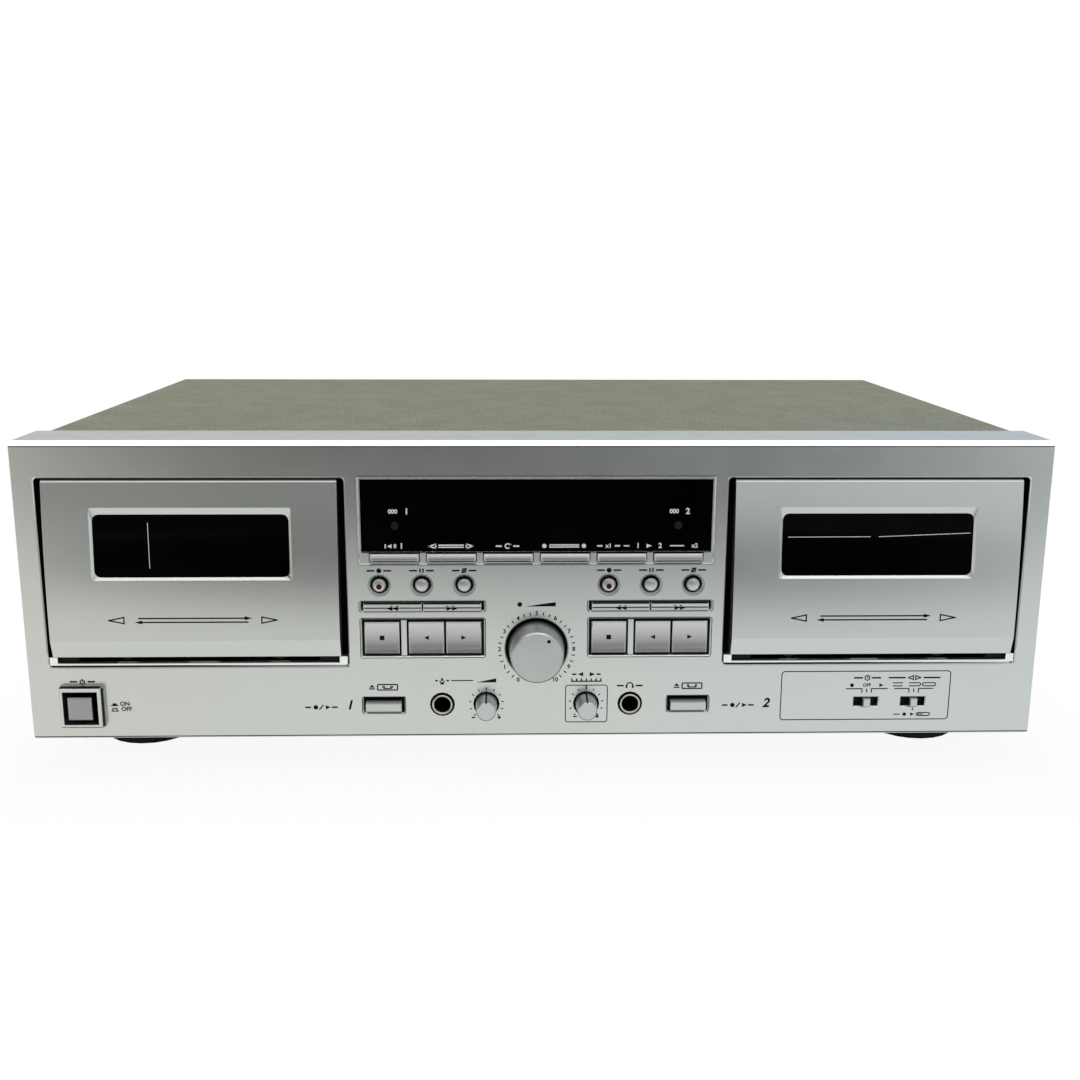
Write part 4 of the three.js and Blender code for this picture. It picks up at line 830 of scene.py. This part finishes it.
def printed(name, body, carrier, shapes, finish):
    """Thin ink shapes on a carrier's front, each point at the depth of its face."""
    source = frame["nodes"][carrier].data
    tree = fine_faces.get(carrier)
    if tree is None:
        faces = [face.vertices for face in source.polygons]
        tree = BVHTree.FromPolygons([vertex.co for vertex in source.vertices], faces)
    mesh = bmesh.new()
    for shape in shapes:
        corners = []
        for x, z in shape:
            start = on_panel(x, z, BEFORE_ALL)
            hit = tree.ray_cast(start, Vector((0, 1, 0)))[0]
            depth = hit.y if hit else FACE_Y
            corners.append(mesh.verts.new((start.x, depth + PRINT_SET * MM, start.z)))
        face = mesh.faces.new(corners)
        out = bmesh.ops.extrude_face_region(mesh, geom=[face])["geom"]
        moved = [v for v in out if isinstance(v, bmesh.types.BMVert)]
        rise = (0, -(PRINT_THICKNESS + PRINT_SET) * MM, 0)
        bmesh.ops.translate(mesh, verts=moved, vec=rise)
    bmesh.ops.recalc_face_normals(mesh, faces=mesh.faces)
    piece = link_mesh(name, mesh)
    dress(piece, finish)
    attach(piece, body)


SCALE_MIDDLE = (0.1, KNOB_Z - 0.3)
SCALE_RADIUS = 16.0
SCALE_STEPS = 10
SCALE_SWEEP = 300
TICK_HALF = 0.7
SMALL_TICK, LONG_TICK = (6.6, 7.6), (6.6, 8.3)
SMALL_TICK_STEP = 27
DIGIT = 1.9


def on_dial(x, z, radius, turn):
    """A point on a dial, turn degrees clockwise from the top."""
    t = math.radians(turn)
    return (x + radius * math.sin(t), z + radius * math.cos(t))


def level_scale():
    """Numbers 0 to 10 round the level knob, with two ticks between neighbours."""
    shapes = []
    step = SCALE_SWEEP / SCALE_STEPS
    for number in range(SCALE_STEPS + 1):
        turn = -SCALE_SWEEP / 2 + number * step
        shapes += glyphs(str(number), *on_dial(*SCALE_MIDDLE, SCALE_RADIUS, turn), DIGIT)
        if number < SCALE_STEPS:
            for k in (1, 2):
                radii = (SCALE_RADIUS - TICK_HALF, SCALE_RADIUS + TICK_HALF)
                ends = (on_dial(*SCALE_MIDDLE, r, turn + k * step / 3) for r in radii)
                shapes.append(strip(*ends, FINE_LINE))
    return shapes


def small_scale(x, centre_tick):
    """Eleven ticks round a small knob."""
    shapes = []
    for i in range(-5, 6):
        long = centre_tick and i == 0
        radii = LONG_TICK if long else SMALL_TICK
        ends = [on_dial(x, LOWER_ROW, r, i * SMALL_TICK_STEP) for r in radii]
        shapes.append(strip(*ends, 0.6 if long else FINE_LINE))
    return shapes


KEY_ROWS = {"stop_key": (37.5, 51.7), "rewind_key": (57.0, 60.3)}  # heights of the keys' faces
ROUND_XS = (-66.9, -48.85, -30.8, 30.8, 48.85, 66.9)
# the second number is the radius of the dark ring of painted shade round each round button
ROUND_Z, ROUND_SHADE_RING = 67.95, 4.75
LABEL_Z = 74.4
EJECT_HALF, EJECT_Z = 9.4, (10.3, 18.1)  # a dark line of painted shade round an eject recess
EJECT_LABEL_Z = 22.4
DECK_MARK_XS, DECK_MARK_Z = {-1: -93.2, 1: 88.2}, 13.4
# half the width of the dark line of painted shade round the power button's bezel
BEZEL_SHADE_HALF = 9.0
EDGE_LINES = ((127.25, 127.6), (0.35, 0.75))  # shade under the top chamfer and along the foot
EDGE_HALF = 217.3


def surround(first, last, aside, under, over):
    """A fine dark line round a row of keys: painted shade along the well's edge."""
    low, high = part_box(first)[0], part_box(last)[1]
    x0, x1 = low.x / MM - aside, high.x / MM + aside
    z0, z1 = KEY_ROWS[first.split("_", 1)[1]]
    return round_box(x0, x1, z0 - under, z1 + over, 1.0, HAIRLINE)


def key_rows_print():
    """Painted shade: a band over the gap above the function keys and lines round the display, key
    rows and round buttons; and the round buttons' signs.
    """
    # a black band of painted shade over the gap above the function keys, and a dark line round the
    # display
    shapes = [bar(-74.1, 74.1, 82.0, 82.42), *round_box(-75.4, 75.4, 76.8, 115.0, 0.6, HAIRLINE)]
    for side, _ in SIDES:
        shapes += surround(f"{side}_stop_key", f"{side}_play_key", 1.8, 1.8, 1.8)
        shapes += surround(f"{side}_rewind_key", f"{side}_fast_forward_key", 1.9, 0.8, 0.9)
    for x, mark in zip(ROUND_XS, (record_mark, pause_mark, mute_mark) * 2):
        shapes += mark(x, LABEL_Z) + rules(x, LABEL_Z, 1.9, 5.2)
        shapes += arc(x, ROUND_Z, ROUND_SHADE_RING, 0.18, 0, 360, 32)
    return shapes


def deck_print(sign):
    """A deck's signs and number, and a dark line of painted shade round its eject recess."""
    middle = sign * EJECT_MIDDLE
    shapes = eject_mark(middle - 5.0, EJECT_LABEL_Z)
    shapes += cassette_mark(middle + 1.7, EJECT_LABEL_Z, 8.6, 2.5)
    shapes += round_box(middle - EJECT_HALF, middle + EJECT_HALF, *EJECT_Z, 1.0, HAIRLINE)
    x, z = DECK_MARK_XS[sign], DECK_MARK_Z
    shapes += record_mark(x - 2.4, z, 1.0)
    shapes += [strip((x - 0.9, z - 1.1), (x + 0.9, z + 1.1), LINE), arrow(x + 2.9, z, 2.1, 2.0, 1)]
    shapes += rules(x, z, 4.5, 7.0)
    return shapes + glyphs("1" if sign < 0 else "2", x + 12.2, z + 0.8, 4.2, 0.25)


def power_print():
    """A dark line of painted shade round the power button's bezel, the button's sign, and signs
    for its two states.
    """
    x, z = BEZEL_MIDDLE
    shapes = round_box(x - BEZEL_SHADE_HALF, x + BEZEL_SHADE_HALF, z - BEZEL_SHADE_HALF, z + BEZEL_SHADE_HALF, 0.8, HAIRLINE)
    shapes += power_mark(-195.0, 25.5) + rules(-195.0, 25.6, 2.2, 5.4)
    shapes += glyphs("ON", -177.6, 15.4, DIGIT) + glyphs("OFF", -177.0, 13.0, DIGIT)
    shapes += [strip((-183.6, z), (-180.4, z), FINE_LINE) for z in (14.7, 12.2)]
    cap = [(-182.9, 12.3), (-182.9, 13.4), (-181.1, 13.4), (-181.1, 12.3)]
    return shapes + [bar(-182.9, -181.1, 14.8, 15.7), *polyline(cap, FINE_LINE)]


def socket_print():
    """Signs by the two sockets and the two small knobs."""
    shapes = microphone_mark(-JACK_X, 25.2) + rules(-JACK_X, 25.3, 1.9, 3.0)
    shapes += [strip((-36.9, 25.3), (-27.3, 25.3), FINE_LINE), wedge(-26.0, -17.4, 24.4, 1.8)]
    shapes += minus_mark(-27.4, 8.3) + plus_mark(-16.2, 8.3)
    shapes += phones_mark(40.6, 22.7) + rules(40.6, 22.6, 2.6, 5.6)
    middle, z = SMALL_KNOB_X, 27.9
    shapes += [arrow(middle - 2.6, z, 2.4, 1.9, -1), arrow(middle + 2.6, z, 2.4, 1.9, 1)]
    shapes += rules(middle, z, 4.4, 6.2) + [strip((15.0, 24.7), (28.4, 24.7), LINE)]
    for x in (middle + i * 2.1 for i in range(-3, 4)):
        shapes.append(strip((x, 24.7), (x, 26.0), LINE))
    shapes += round_box(12.7, 30.9, 6.0, 22.9, 1.2, 0.4)
    return shapes + minus_mark(17.0, 8.5) + plus_mark(26.6, 8.5)


def switch_print():
    """The outlined field of the timer switch and the reverse mode switch."""
    shapes = round_box(107.0, 181.2, 6.4, 28.65, 1.4, 0.42)
    timer, reverse = 144.6, 165.35
    top, row, fork, foot = 25.6, 22.2, (20.6, 18.9), 8.7
    shapes += clock_mark(timer, top) + rules(timer, top, 2.0, 6.0)
    for s in (-1, 1):
        shapes += open_arrow(reverse + s * 1.6, top, 2.2, 1.8, s, FINE_LINE)
    shapes += rules(reverse, top, 4.0, 11.4)
    shapes += record_mark(timer - 6.6, row, 0.85) + glyphs("OFF", timer, row, 1.5)
    shapes += [arrow(timer + 6.4, row, 1.9, 1.7, 1)]
    for kind, x in enumerate((-7.2, 0, 6.6)):
        shapes += loop_mark(reverse + x, 22.5, kind)
    for middle, reach in ((timer, 9.0), (reverse, 8.4)):
        for s in (-1, 1):
            inner, outer = middle + s * 2.1, middle + s * reach
            points = [(outer, fork[0]), (inner, fork[0]), (inner, fork[1])]
            shapes += polyline(points, FINE_LINE)
        shapes.append(strip((middle, fork[0]), (middle, fork[1]), FINE_LINE))
    shapes += [strip((reverse, 11.7), (reverse, 10.4), FINE_LINE)]
    shapes += [*record_mark(reverse - 3.4, foot, 0.8), arrow(reverse + 0.1, foot, 1.7, 1.6, 1)]
    shapes += rules(reverse - 1.7, foot, 3.6, 6.6, FINE_LINE)
    return shapes + loop_mark(reverse + 4.9, foot, 2)


def panel_print():
    """All that is printed on the front panel."""
    shapes = level_scale() + key_rows_print() + power_print() + socket_print() + switch_print()
    shapes += small_scale(-SMALL_KNOB_X, False) + small_scale(SMALL_KNOB_X, True)
    shapes += record_mark(-7.2, 59.4) + [wedge(-5.0, 8.2, 58.5, 1.9)]
    for _, sign in SIDES:
        shapes += deck_print(sign)
    return shapes + [bar(-EDGE_HALF, EDGE_HALF, *span) for span in EDGE_LINES]


def display_print():
    """White marks on the display, over the function keys and by the clear buttons."""
    z, clear = 84.8, 99.7
    shapes = [strip((-64.0, z - 0.9), (-64.0, z + 0.9), LINE), arrow(-62.3, z, 1.9, 1.8, -1)]
    shapes += open_arrow(-44.1, z, 2.8, 1.8, -1, LINE) + open_arrow(-28.4, z, 2.8, 1.8, 1, LINE)
    for x0, x1 in ((-41.6, -30.9), (5.3, 18.0)):
        shapes += [strip((x0, z + rise), (x1, z + rise), LINE) for rise in (-0.45, 0.45)]
    shapes += arc(-12.4, z, 0.95, LINE, 20, 320) + [arrow(-11.3, z + 0.7, 1.2, 1.2, 1)]
    shapes += rules(-12.4, z, 2.4, 5.0) + [disc(3.2, z, 0.95), disc(20.0, z, 0.95)]
    shapes += rules(30.5, z, 2.6, 4.9) + [arrow(47.8, z, 2.4, 1.8, 1)]
    shapes += [strip((36.9, z), (39.3, z), LINE), strip((56.6, z), (62.6, z), LINE)]
    for x, level, height, text in (
        (-60.6, clear, DIGIT, "000"), (-54.8, clear, 2.6, "1"),
        (58.0, clear, DIGIT, "000"), (63.8, clear, 2.6, "2"),
        (-59.9, z, 1.8, "0"), (-57.2, z, 2.4, "1"), (30.5, z, DIGIT, "x1"),
        (43.0, z, 2.2, "1"), (52.4, z, 2.2, "2"), (67.2, z, DIGIT, "x2"),
    ):
        shapes += glyphs(text, x, level, height)
    return shapes


def door_print(sign):
    """Two open arrows, with a run each way between them, under the window."""
    x, z = sign * DOOR_X, 54.1
    left, right = x - 23.4, x + 22.8
    shapes = open_arrow(x - 32.6, z, 6.4, 2.7, -1, LINE)
    shapes += open_arrow(x + 31.6, z, 6.4, 2.7, 1, LINE)
    for level, end, tip in ((z + 0.85, right, 1), (z - 0.85, left, -1)):
        shapes += [strip((left, level), (right, level), 0.6), arrow(end, level, 3.2, 1.7, tip)]
    return shapes


PANE_HIGHLIGHT_WIDTH = 0.26


def pane_print(sign):
    """Fine light lines in the panes, painted highlights: one down the left pane, and one in two
    parts along the right.
    """
    if sign < 0:
        return polyline([(-162.4 + 0.008 * k, 95.4 - k) for k in range(20)], PANE_HIGHLIGHT_WIDTH)
    ends = (((106.3, 89.0), (141.5, 89.1)), ((145.0, 89.1), (184.2, 90.6)))
    return [strip(*pair, PANE_HIGHLIGHT_WIDTH) for pair in ends]


STRIP_FLANGE = 1.3  # how far a function key's flange stands out beyond its face
STRIP_SHADE_LINE = (78.4, 78.66)  # heights of the dark line of painted shade along a function key's foot
SEEK_STEP_Z = 58.65  # height of the line across a seek key
SEEK_MARK_Z = 58.2
# a dark line of painted shade at a seek key's step, and a dark band of painted shade along its top
SEEK_SHADE_LINES = ((58.15, 58.63), (59.65, 60.28))
SEEK_HALF = 12.2


def key_middle(node):
    low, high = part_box(node)
    return ((low.x + high.x) / 2 / MM, ((low.z + high.z) / 2 - PANEL_FLOOR) / MM)


def seek_mark(x, sign):
    """Two arrows over a seek key's step, and two dark lines of painted shade along the key, at its
    step and along its top.
    """
    lines = [bar(x - SEEK_HALF, x + SEEK_HALF, *span) for span in SEEK_SHADE_LINES]
    arrows = [arrow(x + k, SEEK_MARK_Z, 2.5, 2.2, sign) for k in (-1.2, 1.2)]
    return lines + parted(arrows, SEEK_STEP_Z)


KEY_MARKS = {
    "stop_key": lambda x, z: [bar(x - 1.0, x + 1.0, z - 1.0, z + 1.0)],
    "reverse_key": lambda x, z: [arrow(x, z, 2.1, 2.0, -1)],
    "play_key": lambda x, z: [arrow(x, z, 2.1, 2.0, 1)],
    "rewind_key": lambda x, z: seek_mark(x, -1),
    "fast_forward_key": lambda x, z: seek_mark(x, 1),
}


def print_keys():
    """The function keys' dark lines of painted shade, the tape keys' marks and the record buttons'
    red dots.
    """
    for number in range(1, 7):
        node = f"function_key_{number}"
        low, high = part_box(node)
        line = bar(low.x / MM + STRIP_FLANGE, high.x / MM - STRIP_FLANGE, *STRIP_SHADE_LINE)
        printed(f"{node}_line", node, node, [line], DARK_INK)
    for side, _ in SIDES:
        for use, mark in KEY_MARKS.items():
            node = f"{side}_{use}"
            shapes = mark(*key_middle(node))
            printed(f"{node}_mark", node, node, shapes, DARK_INK)
        node = f"{side}_record_button"
        x, z = key_middle(node)
        printed(f"{node}_dot", node, node, cells(x, z - 0.4, 1.2), RED_INK)


# Small fittings
NUT_SIDES = 64
NUT_SMOOTH = math.radians(30)
NUT_PROFILE = (  # radius and depth
    (3.52, -0.55), (3.52, -0.7), (3.9, -1.0), (4.2, -1.02), (4.42, -0.85), (4.42, -0.55)
)


def socket_nut(name, x):
    """The bright round nut of a socket, with a bevelled mouth, on the socket's face."""
    mesh = bmesh.new()
    steps = [2 * math.pi * i / NUT_SIDES for i in range(NUT_SIDES)]
    rings = []
    for radius, y in NUT_PROFILE:
        rim = [(x + radius * math.cos(t), LOWER_ROW + radius * math.sin(t), y) for t in steps]
        rings.append([mesh.verts.new(on_panel(*point)) for point in rim])
    for first, second in zip(rings, rings[1:] + rings[:1]):
        for i in range(NUT_SIDES):
            mesh.faces.new((first[i], first[i - 1], second[i - 1], second[i]))
    for face in mesh.faces:
        face.smooth = True
    for edge in mesh.edges:
        edge.smooth = edge.calc_face_angle(0) < NUT_SMOOTH
    bmesh.ops.recalc_face_normals(mesh, faces=mesh.faces)
    piece = link_mesh(name, mesh)
    dress(piece, NUT)
    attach(piece, "cabinet")


# Floor and light, in metres. A fade is a level at each of two places, and those places.
FLOOR_REACH = 4.0
FOOTPRINT = (0.2175, 0.135)  # half the object's width and depth
SHADOW_FADE = (0.93, 1, 0, 0.06)  # how white the floor is, away from the object
STUDIO_DARK = (0.03, -1.4)  # where the floor is darkest in gloss
STUDIO_REACH = (0.58, 1.03)
STUDIO_FALL = 2.4
STUDIO_SQUEEZE = 1.3  # how much narrower than deep the dark part is
DARKEST = 0.02
FRONT_WALL_FADE = (1, 0, -2.6, -2.0)  # dark far in front, and most on the left
LEFT_WALL_FADE = (0.8, 0, -0.3, 0.1)
CONTACT_FADE = (0.0, 1, 0, 0.02)  # painted shadow: the floor dark in gloss close to the object
HORIZON_FADE = (0.66, 0.93, 0.02, 0.3)  # how dim the world is, by height
HEIGHT_FADE = (1, 0, 0.45, 1.1)
AHEAD_FADE = (1, 0, -0.35, 0.2)  # from the front to the back
ASIDE_FADE = (1, 0.2, 0.0, 0.14)  # from the left to the right
TINT_FADE = (0, 1, -0.35, 0.35)
WARM, COOL = (1.0, 1.0, 0.94), (0.93, 0.985, 1.0)
LAMPS = (  # place, target, size and power
    ("soft_top", (0, -0.08, 1.3), (0, 0, 0.07), (1.8, 0.85), 6.5),
    ("soft_front", (-0.5, -1.3, 0.9), (0, -0.1, 0.07), (0.9, 0.6), 2),
)


def tint(tree, x):
    """A slightly warm left and a slightly cool right."""
    return mix(tree, spread(tree, x, *TINT_FADE), WARM, COOL)


def ray_kinds(tree):
    """1 for rays straight from the camera, and 1 for what gloss and clear surfaces show."""
    path = tree.nodes.new("ShaderNodeLightPath").outputs
    mirrored = combine(tree, "MAXIMUM", path["Is Glossy Ray"], path["Is Transmission Ray"])
    return path["Is Camera Ray"], mirrored


def blended(tree, factor, first, second):
    made = tree.nodes.new("ShaderNodeMixShader")
    tree.links.new(factor, made.inputs["Fac"])
    tree.links.new(first, made.inputs[1])
    tree.links.new(second, made.inputs[2])
    return made.outputs["Shader"]


def outside(tree, place, half):
    """How far a place lies outside a span of half on each side of 0."""
    past = combine(tree, "SUBTRACT", combine(tree, "ABSOLUTE", place), half)
    return combine(tree, "MAXIMUM", past, 0.0)


def distance(tree, first, second):
    """The length of a line that runs so far one way and so far the other."""
    squares = [combine(tree, "POWER", side, 2.0) for side in (first, second)]
    return combine(tree, "SQRT", combine(tree, "ADD", *squares))


def make_stage():
    """A pale floor: white to the camera, and in gloss too but for a dark part in front."""
    floor = bpy.data.meshes.new("floor")
    turns = ((-1, -1), (1, -1), (1, 1), (-1, 1))
    corners = [(sx * FLOOR_REACH, sy * FLOOR_REACH, 0) for sx, sy in turns]
    floor.from_pydata(corners, [], [(0, 1, 2, 3)])
    piece = link("floor", floor)
    made, tree, shader = new_material("pale_floor")
    shader.inputs["Base Color"].default_value = (0.86, 0.86, 0.86, 1)
    shader.inputs["Roughness"].default_value = 0.8
    shader.inputs["Specular IOR Level"].default_value = 0.1
    x, y, _ = split(tree, coordinates(tree))
    away = distance(tree, outside(tree, x, FOOTPRINT[0]), outside(tree, y, FOOTPRINT[1]))
    across = times(tree, combine(tree, "SUBTRACT", x, STUDIO_DARK[0]), STUDIO_SQUEEZE)
    far = distance(tree, across, combine(tree, "SUBTRACT", y, STUDIO_DARK[1]))
    level = combine(tree, "POWER", spread(tree, far, 0, 1, *STUDIO_REACH), STUDIO_FALL)
    level = combine(tree, "MULTIPLY_ADD", level, 1 - DARKEST, DARKEST)
    walls = (spread(tree, y, *FRONT_WALL_FADE), spread(tree, x, *LEFT_WALL_FADE))
    level = times(tree, level, combine(tree, "SUBTRACT", 1.0, times(tree, *walls)))
    level = times(tree, level, spread(tree, away, *CONTACT_FADE))
    camera, gloss = ray_kinds(tree)
    white = tree.nodes.new("ShaderNodeEmission")
    mirrored = tree.nodes.new("ShaderNodeEmission")
    tree.links.new(tint(tree, x), mirrored.inputs["Color"])
    tree.links.new(level, mirrored.inputs["Strength"])
    share = times(tree, camera, spread(tree, away, *SHADOW_FADE))
    seen = blended(tree, share, shader.outputs["BSDF"], white.outputs["Emission"])
    output = next(n for n in tree.nodes if n.type == "OUTPUT_MATERIAL")
    shown = blended(tree, gloss, seen, mirrored.outputs["Emission"])
    tree.links.new(shown, output.inputs["Surface"])
    floor.materials.append(made)


def make_world():
    """White to the camera, and in gloss too but dim low down on the front's side."""
    world = bpy.data.worlds.new("studio")
    world.use_nodes = True
    tree = world.node_tree
    back = next(n for n in tree.nodes if n.type == "BACKGROUND")
    back.inputs["Color"].default_value = (0.5, 0.5, 0.5, 1)
    white = tree.nodes.new("ShaderNodeBackground")
    white.inputs["Color"].default_value = (1, 1, 1, 1)
    mirrored = tree.nodes.new("ShaderNodeBackground")
    x, y, z = split(tree, tree.nodes.new("ShaderNodeTexCoord").outputs["Generated"])
    dim = spread(tree, z, *HORIZON_FADE)
    for place, fade in ((z, HEIGHT_FADE), (y, AHEAD_FADE), (x, ASIDE_FADE)):
        dim = times(tree, dim, spread(tree, place, *fade))
    tree.links.new(combine(tree, "SUBTRACT", 1.0, dim), mirrored.inputs["Strength"])
    tree.links.new(tint(tree, x), mirrored.inputs["Color"])
    camera, gloss = ray_kinds(tree)
    seen = blended(tree, camera, back.outputs["Background"], white.outputs["Background"])
    output = next(n for n in tree.nodes if n.type == "OUTPUT_WORLD")
    shown = blended(tree, gloss, seen, mirrored.outputs["Background"])
    tree.links.new(shown, output.inputs["Surface"])
    bpy.context.scene.world = world


def area_light(name, place, target, size, power):
    data = bpy.data.lights.new(name, "AREA")
    data.shape = "RECTANGLE"
    data.size, data.size_y = size
    data.energy = power
    lamp = link(name, data)
    lamp.location = place
    lamp.rotation_euler = (Vector(target) - Vector(place)).to_track_quat("-Z", "Y").to_euler()


make_camera()
make_stage()
make_world()
for lamp_row in LAMPS:
    area_light(*lamp_row)
bpy.context.scene.view_settings.view_transform = "Standard"

for node, carried in frame["nodes"].items():
    dress(carried, finish_of(node))

CAPPED = ("_key", "_button", "_knob", "_lever")
ROUNDED = ("_jack", "foot_", "top_cover", "mains_inlet")
DOOR_SHARP = 8  # degrees
refined("front_panel", 0, (BLACK, SILL_HIGHLIGHT, SHADED_SILVER))
for node in frame["nodes"]:
    if "door_panel" in node:
        refined(node, sharp=DOOR_SHARP)
    elif "door_window" in node:
        refined(node, 0, sharp=DOOR_SHARP)
    elif node == "rear_panel":
        refined(node, coats=(BLACK, NUT))
    elif any(word in node for word in CAPPED):
        refined(node, coats=(BLACK, DARK_INK, SHADED_SILVER))
    elif any(word in node for word in ROUNDED):
        refined(node)

printed("panel_marks", "cabinet", "front_panel", panel_print(), DARK_INK)
marks = display_print()
printed("display_marks", "cabinet", "display_window", marks, WHITE_INK)
for side, sign in SIDES:
    door = f"{side}_door"
    printed(f"{door}_marks", door, f"{door}_panel", door_print(sign), DARK_INK)
    # the panes' light lines are painted highlights
    lines = pane_print(sign)
    printed(f"{side}_pane_glints", door, f"{door}_window", lines, WHITE_INK)
print_keys()
socket_nut("microphone_jack_nut", -JACK_X)
socket_nut("headphone_jack_nut", JACK_X)
